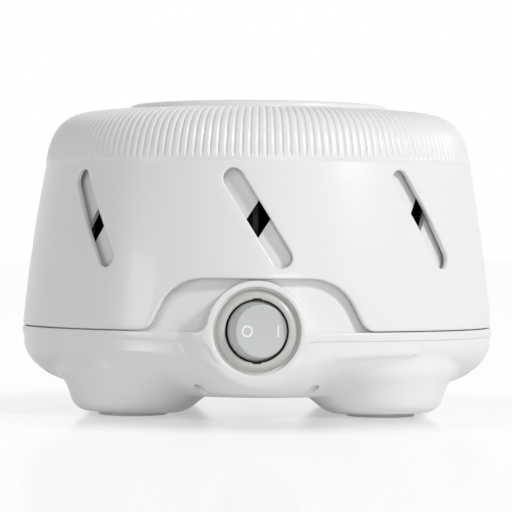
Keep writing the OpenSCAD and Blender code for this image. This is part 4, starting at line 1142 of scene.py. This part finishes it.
def soft_union(a, b, reach):
    """The union of two distance fields, blended where they are within reach of each other."""
    near = np.maximum(reach - np.abs(a - b), 0) / reach
    return np.minimum(a, b) - near * near * reach / 4


def soft_cut(a, b, reach):
    """Field a with field b taken away, its edges eased."""
    return -soft_union(-a, b, reach)


def rim_share(away):
    """0 on the switch pod, rising to 1 where the plate has run into the rim, by distance from the switch."""
    return smooth_step(away, POD_R - 1.0, ARM_X - 0.3)


def bowl_field(r, z, base):
    """Distance from the bowl, whose side curves in to a flat floor."""
    deep = base.bowl_top_z - base.floor_z
    out = np.maximum(r - RIM_R + base.rim_step + base.bowl_turn, 0)
    down = np.maximum(base.bowl_top_z - z, 0)
    whole_way = np.hypot(out / base.bowl_turn, down / deep)
    slope = np.maximum(np.hypot(out / base.bowl_turn ** 2, down / deep ** 2), 1e-9)
    return np.where(whole_way > 1e-6, whole_way * (whole_way - 1) / slope, -deep)


def foot_field(x, y, z, base):
    """Distance from the nearest foot, round and with a rounded bottom edge."""
    side = np.hypot(np.abs(x) - FOOT_AT, np.abs(y) - FOOT_AT)
    flare = base.foot_flare * np.clip((z - PAD_H) / (base.bowl_top_z - PAD_H), 0, 1)
    out, down = side - base.foot_r - flare + base.foot_corner, PAD_H - z + base.foot_corner
    foot = np.minimum(np.maximum(out, down), 0) + np.hypot(np.maximum(out, 0), np.maximum(down, 0))
    return np.maximum(foot - base.foot_corner, z - base.bowl_top_z + FOOT_TOP_GAP)


def pod_field(x, y, z, base):
    """Distance from the pod's share of the bowl: flared below, and flush with the plate above."""
    away = np.hypot(x, z - SWITCH_Z)
    past = np.maximum(away - POD_R, 0)
    low_front = POD_FRONT - BEHIND - past * past / (2 * base.pod_flare)
    down = np.clip((base.bowl_top_z - z) / (base.bowl_top_z - base.floor_z), 0, 1)
    level_r = RIM_R - base.rim_step - base.bowl_turn * (1 - np.sqrt(1 - down * down))
    bowl_y = np.sqrt(np.maximum(level_r ** 2 - x * x, 0))
    plate_y = POD_FRONT - BEHIND - base.rim_step * smooth_step(z, *RIM_STEP_Z)
    high_front = bowl_y + (plate_y - bowl_y) * (1 - rim_share(away))
    high = smooth_step(z, *FLARE_Z)
    pod = -y - low_front * (1 - high) - high_front * high
    pod = pod / np.sqrt(1 + (past / base.pod_flare * (1 - high)) ** 2)
    pod = soft_cut(pod, z - base.floor_z - POD_UNDER, POD_UNDER_EASE)
    return np.maximum(pod, y + POD_FRONT - base.pod_depth - POD_TAIL)


def base_field(x, y, z, base):
    """Distance from the outside of the base at points in millimetres, negative inside."""
    r = np.hypot(x, y)
    feet_blend = base.blend * (1 - smooth_step(z, FEET_FADE_Z, base.bowl_top_z - 1.0))
    body = soft_union(bowl_field(r, z, base), foot_field(x, y, z, base), LEAST_BLEND + feet_blend)
    body = np.maximum(body, r - RIM_R + base.rim_step)
    pod_blend = base.pod_blend * (1 - smooth_step(z, *POD_FADE_Z))
    body = soft_union(body, pod_field(x, y, z, base), LEAST_BLEND + pod_blend)
    boss = np.maximum(np.hypot(x, z - GLAND_Z) - base.boss_r, y - RIM_R)
    body = soft_union(body, np.maximum(boss, BOSS_START - y), BOSS_BLEND)
    recess = np.hypot(x, z - SWITCH_Z) - base.recess_r - RECESS_GAP
    return np.maximum(body, -np.maximum(recess, y + RECESS_END))


def netted(field, lows, counts, step):
    """Points and four-sided faces of a field's surface, by surface nets on an even grid."""
    axes = [start + step * np.arange(n) for start, n in zip(lows, counts)]
    grid = np.stack(np.meshgrid(*axes, indexing="ij"), axis=-1)
    values = field(grid[..., 0], grid[..., 1], grid[..., 2])
    inside = values < 0
    cells = tuple(n - 1 for n in counts)
    total, count = np.zeros((*cells, 3)), np.zeros(cells)

    def part(array, corner):
        return array[tuple(slice(c, c + n) for c, n in zip(corner, cells))]

    for a in np.ndindex(2, 2, 2):
        for axis in range(3):
            if a[axis]:
                continue
            b = tuple(c + (n == axis) for n, c in enumerate(a))
            va, vb = part(values, a), part(values, b)
            cross = part(inside, a) != part(inside, b)
            t = np.where(cross, va / np.where(cross, va - vb, 1), 0)[..., None]
            point = part(grid, a) * (1 - t) + part(grid, b) * t
            total += np.where(cross[..., None], point, 0)
            count += cross
    used = count > 0
    numbers = np.full(cells, -1)
    numbers[used] = np.arange(used.sum())
    faces = []
    for axis in range(3):
        u, v = [n for n in range(3) if n != axis]
        first = [slice(1, n) for n in cells]
        second = list(first)
        first[axis], second[axis] = slice(0, cells[axis]), slice(1, cells[axis] + 1)
        corner = np.argwhere(inside[tuple(first)] != inside[tuple(second)])
        quad = []
        for du, dv in ((1, 1), (0, 1), (0, 0), (1, 0)):
            cell = corner.copy()
            cell[:, u] += du
            cell[:, v] += dv
            quad.append(numbers[tuple(cell.T)])
        faces.append(np.stack(quad, axis=1))
    faces = np.concatenate(faces)
    return total[used] / count[used][:, None], faces[(faces >= 0).all(axis=1)]


def gradient_of(field, points, step=0.02):
    """How a field changes at points, along each axis."""
    sides = []
    for axis in range(3):
        shift = np.zeros(3)
        shift[axis] = step
        ahead, behind = points + shift, points - shift
        sides.append((field(*ahead.T) - field(*behind.T)) / (2 * step))
    return np.stack(sides, axis=1)


def settled(field, points, free=(1.0, 1.0, 1.0), times=3):
    """Points moved on to the field's surface, along the axes that are free."""
    for _ in range(times):
        slope = gradient_of(field, points) * np.array(free)
        size = np.maximum((slope ** 2).sum(axis=1), LEAST_SLOPE)
        points = points - slope * (field(*points.T) / size)[:, None]
    return points


def make_bowl():
    """The bowl with its feet as one thin moulded wall, open at the top under the rim."""
    base = sizes("base")
    step = base.mesh_step
    top = DECK_Z - base.rim_h + BOWL_OVERLAP
    reach = math.ceil((POD_FRONT + 2) / step) * step
    low_z = top - step * math.ceil(top / step)
    across, upwards = round(2 * reach / step) + 1, round((top - low_z) / step) + 1

    def field(x, y, z):
        return base_field(x, y, z, base)

    points, faces = netted(field, (-reach, -reach, low_z), (across, across, upwards), step)
    mesh = bpy.data.meshes.new("base_bowl")
    mesh.from_pydata(points.tolist(), [], faces.tolist())
    work = bmesh.new()
    work.from_mesh(mesh)
    bmesh.ops.recalc_face_normals(work, faces=work.faces)
    work.verts.index_update()
    border = np.array([any(e.is_boundary for e in v.link_edges) for v in work.verts])
    co = np.array([v.co for v in work.verts], float)
    for _ in range(4):
        co = settled(field, relaxed(work, co, border), times=2)
        co[border, 2] = top
        co[border] = settled(field, co[border], free=(1.0, 1.0, 0.0))
    for vertex, place in zip(work.verts, co):
        vertex.co = place * MM
    outward = gradient_of(field, co)
    outward /= np.linalg.norm(outward, axis=1)[:, None]
    near_hole = 1 - smooth_step(hole_distance(co, base), base.dimple_r + 1, base.dimple_r + 3)
    thicken(work, outward, base.wall * (1 + near_hole))
    work.to_mesh(mesh)
    work.free()
    put("base_bowl", cut_away(mesh, dimple_cutters(base)), "base", "white_shell", ["base_shell"], crease=40)


def hole_distance(co, base):
    """Distances of points from the axis of the nearest blind hole."""
    turn = np.arctan2(co[:, 0], -co[:, 1])
    off = np.abs((turn + math.pi / 4) % (math.pi / 2) - math.pi / 4) - base.dimple_angle
    r = np.hypot(co[:, 0], co[:, 1])
    return np.hypot(r * np.cos(off) - base.dimple_ring, r * np.sin(off))


def dimple_cutters(base):
    """What is cut away for the blind holes: a round rod with a rounded end for each."""
    shell = Shell()
    end_edge = 0.6
    profile = eased([(0, 0), (base.dimple_r, 0), (base.dimple_r, base.dimple_top_z, end_edge),
                     (0, base.dimple_top_z)], 4)
    for arch in range(4):
        for side in (-1, 1):
            x, y, _ = around(base.dimple_ring, arch * math.pi / 2 + side * base.dimple_angle, 0)
            turned(shell, profile, upright(x, y), 48)
    return shell


def cut_away(mesh, cutters):
    """A mesh with the cutters' volume taken away."""
    part, tool = (bpy.data.objects.new(label, mended(data)) for label, data in (
        ("part", mesh), ("tool", cutters.mesh("tool"))))
    for thing in (part, tool):
        bpy.context.scene.collection.objects.link(thing)
    modifier = part.modifiers.new("cut", "BOOLEAN")
    modifier.operation, modifier.solver, modifier.object = "DIFFERENCE", "EXACT", tool
    cut = evaluated(part)
    bpy.data.objects.remove(tool)
    return cut


def relaxed(work, co, border):
    """Points moved half way to the middle of their neighbours, the border along itself."""
    pairs = np.array([(e.verts[0].index, e.verts[1].index) for e in work.edges])
    rim = np.array([e.is_boundary for e in work.edges])
    total, count = np.zeros_like(co), np.zeros(len(co))
    for a, b in (pairs.T, pairs.T[::-1]):
        counted = rim | ~border[a]
        np.add.at(total, a[counted], co[b[counted]])
        np.add.at(count, a[counted], 1)
    return co + 0.5 * (total / np.maximum(count, 1)[:, None] - co) * (count > 0)[:, None]


def thicken(work, outward, wall):
    """Adds the inner side of a wall and closes it along its border."""
    border = [tuple(e.verts) for e in work.edges if e.is_boundary]
    shifts = outward * wall[:, None] * MM
    inner = {v: work.verts.new(v.co - Vector(shift)) for v, shift in zip(list(work.verts), shifts)}
    for face in list(work.faces):
        work.faces.new([inner[v] for v in reversed(face.verts)])
    for a, b in border:
        work.faces.new((a, b, inner[b], inner[a]))
    bmesh.ops.recalc_face_normals(work, faces=work.faces)


def pod_outline(base):
    """The lower and the upper edge of the plate round the switch, with the plate on their left."""
    fillet, step = base.pod_fillet, 0.6

    def half(edge_z, up):
        centre_z = edge_z + up * fillet
        centre_x = math.sqrt((POD_R + fillet) ** 2 - (centre_z - SWITCH_Z) ** 2)
        turn_in = math.degrees(math.atan2(SWITCH_Z - centre_z, -centre_x)) % 360
        fillet_line = arc((centre_x, centre_z), fillet, 270 if up > 0 else 90, turn_in, 12)
        pod_start = math.degrees(math.atan2(centre_z - SWITCH_Z, centre_x))
        pod_line = arc((0, SWITCH_Z), POD_R, pod_start, 90 * up, 30)
        return [(ARM_X, edge_z)] + fillet_line + pod_line[1:]

    lower, upper = half(DECK_Z - base.rim_h, -1), half(DECK_Z, 1)
    lower_line = [(-x, z) for x, z in lower] + list(reversed(lower))[1:]
    upper_line = upper + [(-x, z) for x, z in reversed(upper)][1:]
    return resampled(lower_line, step), resampled(upper_line, step)


def make_pod():
    """The plate round the switch that runs into the rim on both sides, with its recess and panel."""
    base = sizes("base")
    lower, upper = pod_outline(base)
    sheet = Sheet()
    edge = base.rim_edge
    thin = 0.06  # the edge's rounding under the pod, where the bowl carries the plate's front on
    thins_from, thin_by = 7.0, 12.0  # how far under the switch the edge starts to thin, and is thin
    low_edge = edge + (thin - edge) * smooth_step(SWITCH_Z - lower[:, 1], thins_from, thin_by)
    low_row = sheet.rolled(lower, low_edge)
    high_row = sheet.rolled(upper, edge)
    steps = [edge * (1 - math.cos(math.pi / 2 * k / ROLL_STEPS)) for k in range(ROLL_STEPS + 1)]
    rises = [lower[0][1] + s for s in steps] + [upper[0][1] - s for s in reversed(steps)]
    right = sheet.line([(ARM_X, z) for z in rises])
    left = sheet.line([(-ARM_X, z) for z in reversed(rises)])
    sheet.outline = low_row + right[1:-1] + high_row + left[1:-1]
    turns = ring_turns(128)
    ring = facing(SWITCH_Z)
    sheet.cut([ring(base.recess_r, a, 0)[::2] for a in turns], edge)
    sheet.fill(1.0)

    def place(x, z, depth, inner):
        rim_y = math.sqrt(RIM_R ** 2 - x * x)
        share = float(rim_share(math.hypot(x, z - SWITCH_Z)))
        front = rim_y + (POD_FRONT - rim_y) * (1 - share)
        return (x, -(POD_FRONT - base.pod_depth if inner else front - depth), z)

    shell = Shell()
    both = sheet.bend(shell, place)
    wall_between(shell, both, sheet.outline)
    panel_front = POD_FRONT - base.recess_depth
    panel_back = panel_front - base.panel
    rings = [shell.add(ring(r, a, out) for a in turns) for r, out in (
        (base.recess_r, panel_front), (base.panel_hole_r, panel_front),
        (base.panel_hole_r, panel_back), (base.recess_r, panel_back))]
    front_row, back_row = (picked(numbers, sheet.cuts[0]) for numbers in both)
    shell.skin([front_row, *rings, back_row])
    put("switch_pod", shell, "base", "white_shell", crease=50)


def make_rim():
    """The rim flange and the deck inside it, from one end of the pod's plate round to the other."""
    base = sizes("base")
    under_z, deck_r = DECK_Z - base.rim_h, RIM_R - base.deck_width
    inner_r, inner_z = RIM_R - base.rim_step - base.wall, DECK_Z - base.wall
    deck_edge = 0.3
    section = eased([
        (RIM_R, under_z, base.rim_edge), (RIM_R, DECK_Z, base.rim_edge), (deck_r, DECK_Z, deck_edge),
        (deck_r, inner_z), (inner_r, inner_z), (inner_r, under_z),
    ], 4)
    shell = Shell()
    rows = []
    for r, z in section:
        start = math.asin(ARM_X / r)
        rows.append(shell.ring(np.linspace(start, 2 * math.pi - start, 301), r, z))
    shell.skin(rows + rows[:1], closed=False)
    shell.faces.append(tuple(row[0] for row in rows))
    shell.faces.append(tuple(row[-1] for row in reversed(rows)))
    put("base_rim", shell, "base", "white_shell")


# ---- Pads, switch and gland ----

def make_pads():
    """Four soft pads with rounded edges."""
    under_edge, over_edge = 0.45, 0.3
    profile = eased([(0, 0), (PAD_R, 0, under_edge), (PAD_R, PAD_H, over_edge), (0, PAD_H)], 4)
    for number, (x, y) in enumerate(((-1, -1), (1, -1), (-1, 1), (1, 1)), start=1):
        put_turned(f"foot_pad_{number}_soft", profile, upright(x * FOOT_AT, y * FOOT_AT), 72,
                   "base", "clear_rubber", [f"foot_pad_{number}"])


def make_bezel():
    """The switch's bezel and barrel in one, with the key notches above and below the rocker."""
    switch, base = sizes("switch"), sizes("base")
    panel = POD_FRONT - base.recess_depth
    wall_end = BEZEL_FRONT - switch.opening_h
    inner_r = switch.barrel_r - switch.barrel_wall
    open_r, crown_r = switch.opening_r, switch.opening_r + switch.lip
    floor_out = BARREL_END + switch.barrel_back
    foot_h, foot_edge, lip_depth, wall_depth = 0.4, 0.2, 0.6, 0.5
    # The bezel swells from a low foot on the panel to its crown, then rolls over a small lip.
    dome = curve((BEZEL_R, panel + foot_h), (BEZEL_R - 0.35, panel + 1.15),
                 (BEZEL_R - 1.2, BEZEL_FRONT), (crown_r, BEZEL_FRONT), 14)
    lip = curve((crown_r, BEZEL_FRONT), (open_r + 0.2, BEZEL_FRONT),
                (open_r, BEZEL_FRONT - 0.15), (open_r, BEZEL_FRONT - lip_depth), 8)
    profile = eased([(0, BARREL_END), (switch.barrel_r, BARREL_END), (switch.barrel_r, panel),
                     (BEZEL_R, panel, foot_edge), dome[0]], 5)
    profile += dome[1:] + lip[1:] + [
        (open_r, wall_end - wall_depth), (inner_r, wall_end - wall_depth), (inner_r, floor_out),
        (0, floor_out)]
    place = facing(SWITCH_Z)
    half = switch.key_width / 2 / open_r

    def keyed(r, a, out):
        off = abs((a + math.pi / 2) % math.pi - math.pi / 2)
        if off <= half and out > wall_end - lip_depth and r >= open_r - 1e-6:
            r = max(r, open_r + switch.key_depth)
        return place(r, a, out)

    put_turned("switch_bezel", profile, keyed, 288, "base", "switch_grey", ["switch_housing"])


def make_shade_cup():
    """A black cup inside the barrel, painted shade: it keeps the inside of the switch dark, so that no light shows
    past the rocker.
    """
    switch = sizes("switch")
    wall, gap, floor_gap, below_wall = 0.3, 0.03, 0.05, 0.6
    low_out = BARREL_END + switch.barrel_back + floor_gap
    high_out = BEZEL_FRONT - switch.opening_h - below_wall
    cup_r = switch.barrel_r - switch.barrel_wall - gap
    profile = [(0, low_out), (cup_r, low_out), (cup_r, high_out), (cup_r - wall, high_out),
               (cup_r - wall, low_out + wall), (0, low_out + wall)]
    put_turned("switch_well", profile, facing(SWITCH_Z), 96, "base", "fan_black", crease=40)


def tilted(place):
    """Moves a place in the rocker's own frame to where the rocker rests, tilted about its pivot."""
    c, s = math.cos(ROCKER_TILT), math.sin(ROCKER_TILT)

    def moved(r, a, out):
        x, y, z = place(r, a, out)
        return (x * c - y * s, x * s + y * c - PIVOT_OUT, z)
    return moved


def dish_r(switch):
    """Radius of the hollow in the rocker's face."""
    return switch.face_r - 0.5


def face_out(switch, r):
    """How far the rocker's hollow face stands out from the pivot at a radius."""
    return switch.reach - switch.face_dish * max(0.0, 1 - (r / dish_r(switch)) ** 2)


def make_rocker():
    """The rocker: a round body with a tapered side and a hollow face."""
    switch = sizes("switch")
    socket_r, bore_r, socket_end = 2.45, 1.31, -6.0  # the round socket behind it, for the spring
    face = [(r, face_out(switch, r)) for r in np.linspace(0, dish_r(switch), 14)]
    side = curve((switch.face_r, switch.reach - 0.35), (switch.face_r + 0.3, switch.reach - 1.6),
                 (switch.body_r, 2.0), (switch.body_r, 0.6), 8)
    edge = curve(face[-1], (switch.face_r - 0.2, switch.reach), (switch.face_r, switch.reach - 0.1),
                 side[0], 5)
    back = curve(side[-1], (switch.body_r, -2.2), (switch.body_r * 0.8, -4.0), (socket_r, -5.2), 10)
    profile = face + edge[1:] + side[1:] + back[1:]
    profile += [(socket_r, socket_end), (bore_r, socket_end), (bore_r, 1.0), (0, 1.0)]
    put_turned("rocker_button", profile, tilted(facing(SWITCH_Z)), 144, "rocker", "switch_grey",
               ["switch_rocker"], crease=45, finish="rocker_grey")


def make_pins():
    """The two dark pins that the rocker turns on."""
    end, pin_r, pin_edge = 9.6, 1.1, 0.2

    def place(r, a, h):
        return (r * math.sin(a), r * math.cos(a) - PIVOT_OUT, SWITCH_Z + h)

    profile = eased([(0, -end), (pin_r, -end, pin_edge), (pin_r, end, pin_edge), (0, end)], 3)
    put_turned("rocker_pins", profile, place, 32, "rocker", "fan_black", crease=45)


def make_marks():
    """The plain on and off marks, raised a hair off the rocker's face."""
    switch = sizes("switch")
    place = tilted(lambda x, z, out: (x, -out, SWITCH_Z + z))
    corner, rises = 0.12, (-0.05, switch.mark_rise)  # the marks start a little inside the face
    shell = Shell()

    def on_face(x, z, rise):
        return place(x, z, face_out(switch, math.hypot(x, z)) + rise)

    inner_r, outer_r = switch.mark_o_r - switch.mark_line, switch.mark_o_r
    rings = [
        shell.add(on_face(-switch.mark_o_at + r * math.sin(a), r * math.cos(a), rise) for a in ring_turns(48))
        for r, rise in ((inner_r, rises[0]), (inner_r, rises[1]), (outer_r, rises[1]), (outer_r, rises[0]))]
    shell.skin(rings + rings[:1])
    half_w, half_h = switch.mark_line / 2, switch.mark_i_h / 2
    outline = eased([(x * half_w, z * half_h, corner) for x, z in CORNERS], 3)
    under, over = (shell.add(on_face(switch.mark_i_at + x, z, rise) for x, z in outline) for rise in rises)
    shell.strip(under, over)
    shell.faces += [tuple(reversed(under)), tuple(over)]
    put("rocker_marks", shell, "rocker", "switch_grey", finish="mark_white")


def make_gland():
    """The rubber gland at the back that the mains lead passes through."""
    tip_r, bore_r, barrel_r, head, swell = 3.7, 2.8, 5.0, 1.6, 0.6
    sharp, small, medium, wide = 0.2, 0.3, 0.4, 0.5  # roundings of its edges
    profile = eased([
        (bore_r, GLAND_START, sharp), (barrel_r + swell, GLAND_START + head, small),
        (barrel_r, GLAND_START + head), (barrel_r, RIM_R), (GLAND_FLANGE_R, RIM_R),
        (GLAND_FLANGE_R, RIM_R + head, wide), (tip_r + swell, RIM_R + head, medium),
        (tip_r, GLAND_END, small), (bore_r, GLAND_END, sharp),
    ], 4)
    put_turned("cord_gland_boot", profile, facing(GLAND_Z, side=1), 72, "base", "black_rubber",
               ["cord_gland"], loop=True)


def dress_frame_nodes():
    """Gives every carried-over node its finish."""
    for row in frame["record"]["subparts"]:
        node = frame["nodes"][row["node"]]
        node.data.materials.clear()
        node.data.materials.append(finish_of(row["material_slot"]))


# ---- Studio ----

CAMERA_AWAY, CAMERA_Z = 0.840, 0.0484  # metres in front of the axis and above the table
PICTURE = 512  # width of the picture in pixels
FOCAL_PIXELS = 2685  # focal length in pixels
AXIS_SHIFT, HORIZON_SHIFT = 1.5, 3.0  # pixels by which the axis and the horizon miss the middle
ROLL = math.radians(0.4)
SENSOR = 36.0  # width of the camera's sensor in millimetres
CLIP = (0.05, 50.0)  # nearest and farthest distance in view, in metres
AIM_Z = 0.05  # height that the lamps point at, in metres
# Name, degrees to the right, degrees up, distance and width in metres, and how bright the lamp
# makes white paper that faces it.
LAMPS = (
    ("key_lamp", 54, 32, 2.2, 0.3, 0.48),
    ("left_lamp", -58, 5, 1.9, 0.5, 0.1),
    ("low_lamp", 14, 3, 1.9, 0.4, 0.12),
)
TABLE_HALF = 20.0  # half the table's width in metres


def make_camera():
    """A long lens at the height of the machine's middle."""
    lens = bpy.data.cameras.new("camera")
    lens.sensor_width = SENSOR
    lens.lens = FOCAL_PIXELS / PICTURE * SENSOR
    lens.shift_x = -AXIS_SHIFT / PICTURE
    lens.shift_y = -HORIZON_SHIFT / PICTURE
    lens.clip_start, lens.clip_end = CLIP
    camera = bpy.data.objects.new("camera", lens)
    camera.location = (0, -CAMERA_AWAY, CAMERA_Z)
    camera.rotation_euler = (math.pi / 2, -ROLL, 0)
    bpy.context.scene.collection.objects.link(camera)
    bpy.context.scene.camera = camera


def make_lamp(name, side, lift, away, size, level):
    """A square soft lamp that faces the machine."""
    side, lift = math.radians(side), math.radians(lift)
    towards = Vector(around(math.cos(lift), side, math.sin(lift)))
    light = bpy.data.lights.new(name, "AREA")
    light.shape, light.size = "SQUARE", size
    light.energy = level * (math.pi * away) ** 2
    lamp = bpy.data.objects.new(name, light)
    lamp.location = Vector((0, 0, AIM_Z)) + towards * away
    lamp.rotation_euler = towards.to_track_quat("Z", "Y").to_euler()
    bpy.context.scene.collection.objects.link(lamp)


def background_share(nodes):
    """1 where a camera, mirror or glass ray meets the background, 0 for light."""
    camera, mirror, glass = (
        nodes.node("ShaderNodeLightPath", output=f"Is {kind} Ray")
        for kind in ("Camera", "Glossy", "Transmission"))
    return camera.sum("MAXIMUM", mirror).sum("MAXIMUM", glass)


def make_world():
    """An even pale room: white to the eye, at a plain level as light."""
    world = bpy.data.worlds.new("room")
    bpy.context.scene.world = world
    world.use_nodes = True
    nodes = Nodes(world.node_tree)
    background = nodes.tree.nodes["Background"]
    nodes.feed(background.inputs["Color"], (1, 1, 1, 1))
    nodes.feed(background.inputs["Strength"], nodes.node("ShaderNodeMix", None, {
        0: background_share(nodes), 2: sizes("studio").room, 3: 1.0}))


def make_floor():
    """A glossy white table that keeps the machine's shadow and a soft reflection near it. A glow painted on for
    camera, mirror and glass rays grows with distance from the machine and fades that shadow and reflection away
    from it.
    """
    look, studio = sizes("finish"), sizes("studio")
    mesh = bpy.data.meshes.new("table_top")
    mesh.from_pydata([(x * TABLE_HALF, y * TABLE_HALF, 0) for x, y in CORNERS], [], [(0, 1, 2, 3)])
    table = bpy.data.objects.new("table_top", mesh)
    bpy.context.scene.collection.objects.link(table)
    finish = Finish("table_white")
    finish.set(Base_Color=rgba(look.table), Roughness=0.1, IOR=1.45)
    # Painted light: the glow's share rises with distance from the middle of the table, from the near share to the
    # far share.
    away = finish.node("ShaderNodeVectorMath", {"operation": "LENGTH"}, {0: finish.place()}, "Value")
    lift = finish.node("ShaderNodeMapRange", {"interpolation_type": "SMOOTHSTEP"}, {
        "Value": away, "From Min": studio.painted_glow_start * MM, "From Max": studio.painted_glow_end * MM,
        "To Min": studio.near_painted_glow, "To Max": studio.far_painted_glow})
    glossy, glow = Value(finish, finish.shader.outputs[0]), finish.node("ShaderNodeEmission")
    mixed = finish.node("ShaderNodeMixShader", None, {
        0: background_share(finish) * lift, 1: glossy, 2: glow})
    finish.feed(finish.output.inputs[0], mixed)
    mesh.materials.append(finish.material)


# ---- Operators, panel and registration ----

class SOUND_OT_studio(bpy.types.Operator):
    """Camera, lamps, room and table"""
    bl_idname = "sound_machine.studio"
    bl_label = "Studio"

    def execute(self, context):
        make_camera()
        make_world()
        for lamp in LAMPS:
            make_lamp(*lamp)
        make_floor()
        return {"FINISHED"}


class SOUND_OT_frame(bpy.types.Operator):
    """Finishes of the carried-over frame nodes"""
    bl_idname = "sound_machine.frame"
    bl_label = "Frame Finishes"

    def execute(self, context):
        dress_frame_nodes()
        return {"FINISHED"}


class SOUND_OT_hood(bpy.types.Operator):
    """Slotted hood with its ribbed shoulder, and the drum behind it"""
    bl_idname = "sound_machine.hood"
    bl_label = "Hood"

    def execute(self, context):
        make_drum()
        make_hood()
        return {"FINISHED"}


class SOUND_OT_cap(bpy.types.Operator):
    """Cap over the air inlet"""
    bl_idname = "sound_machine.cap"
    bl_label = "Cap"

    def execute(self, context):
        make_cap()
        return {"FINISHED"}


class SOUND_OT_base(bpy.types.Operator):
    """Bowl, feet, rim and switch pod"""
    bl_idname = "sound_machine.base"
    bl_label = "Base"

    def execute(self, context):
        make_bowl()
        make_rim()
        make_pod()
        make_pads()
        return {"FINISHED"}


class SOUND_OT_switch(bpy.types.Operator):
    """Round rocker switch"""
    bl_idname = "sound_machine.switch"
    bl_label = "Switch"

    def execute(self, context):
        make_bezel()
        # the black cup inside the barrel is painted shade
        make_shade_cup()
        make_rocker()
        make_pins()
        make_marks()
        return {"FINISHED"}


class SOUND_OT_gland(bpy.types.Operator):
    """Rubber gland of the cord outlet"""
    bl_idname = "sound_machine.gland"
    bl_label = "Cord Gland"

    def execute(self, context):
        make_gland()
        return {"FINISHED"}


OPERATORS = (
    SOUND_OT_studio, SOUND_OT_frame, SOUND_OT_hood, SOUND_OT_cap, SOUND_OT_base, SOUND_OT_switch,
    SOUND_OT_gland,
)


class SOUND_PT_panel(bpy.types.Panel):
    """Lists the machine's parts and their sizes"""
    bl_idname = "SOUND_PT_panel"
    bl_label = "Sound Machine"
    bl_space_type = "VIEW_3D"
    bl_region_type = "UI"
    bl_category = "Sound Machine"

    def draw(self, context):
        for operator in OPERATORS:
            self.layout.operator(operator.bl_idname)
        for name in GROUPS:
            group = getattr(context.scene, "sound_machine_" + name)
            box = self.layout.box()
            box.label(text=name.title())
            for key in group.bl_rna.properties.keys():
                if key not in ("rna_type", "name"):
                    box.prop(group, key)


def register():
    for name, group in GROUPS.items():
        bpy.utils.register_class(group)
        setattr(bpy.types.Scene, "sound_machine_" + name, bpy.props.PointerProperty(type=group))
    for kind in (*OPERATORS, SOUND_PT_panel):
        bpy.utils.register_class(kind)


def unregister():
    for kind in reversed((*OPERATORS, SOUND_PT_panel)):
        bpy.utils.unregister_class(kind)
    for name, group in GROUPS.items():
        delattr(bpy.types.Scene, "sound_machine_" + name)
        bpy.utils.unregister_class(group)


def main():
    """Builds the whole machine."""
    register()
    bpy.context.scene.view_settings.view_transform = "Standard"
    for operator in OPERATORS:
        group, name = operator.bl_idname.split(".")
        getattr(getattr(bpy.ops, group), name)()


if __name__ == "__main__":
    main()
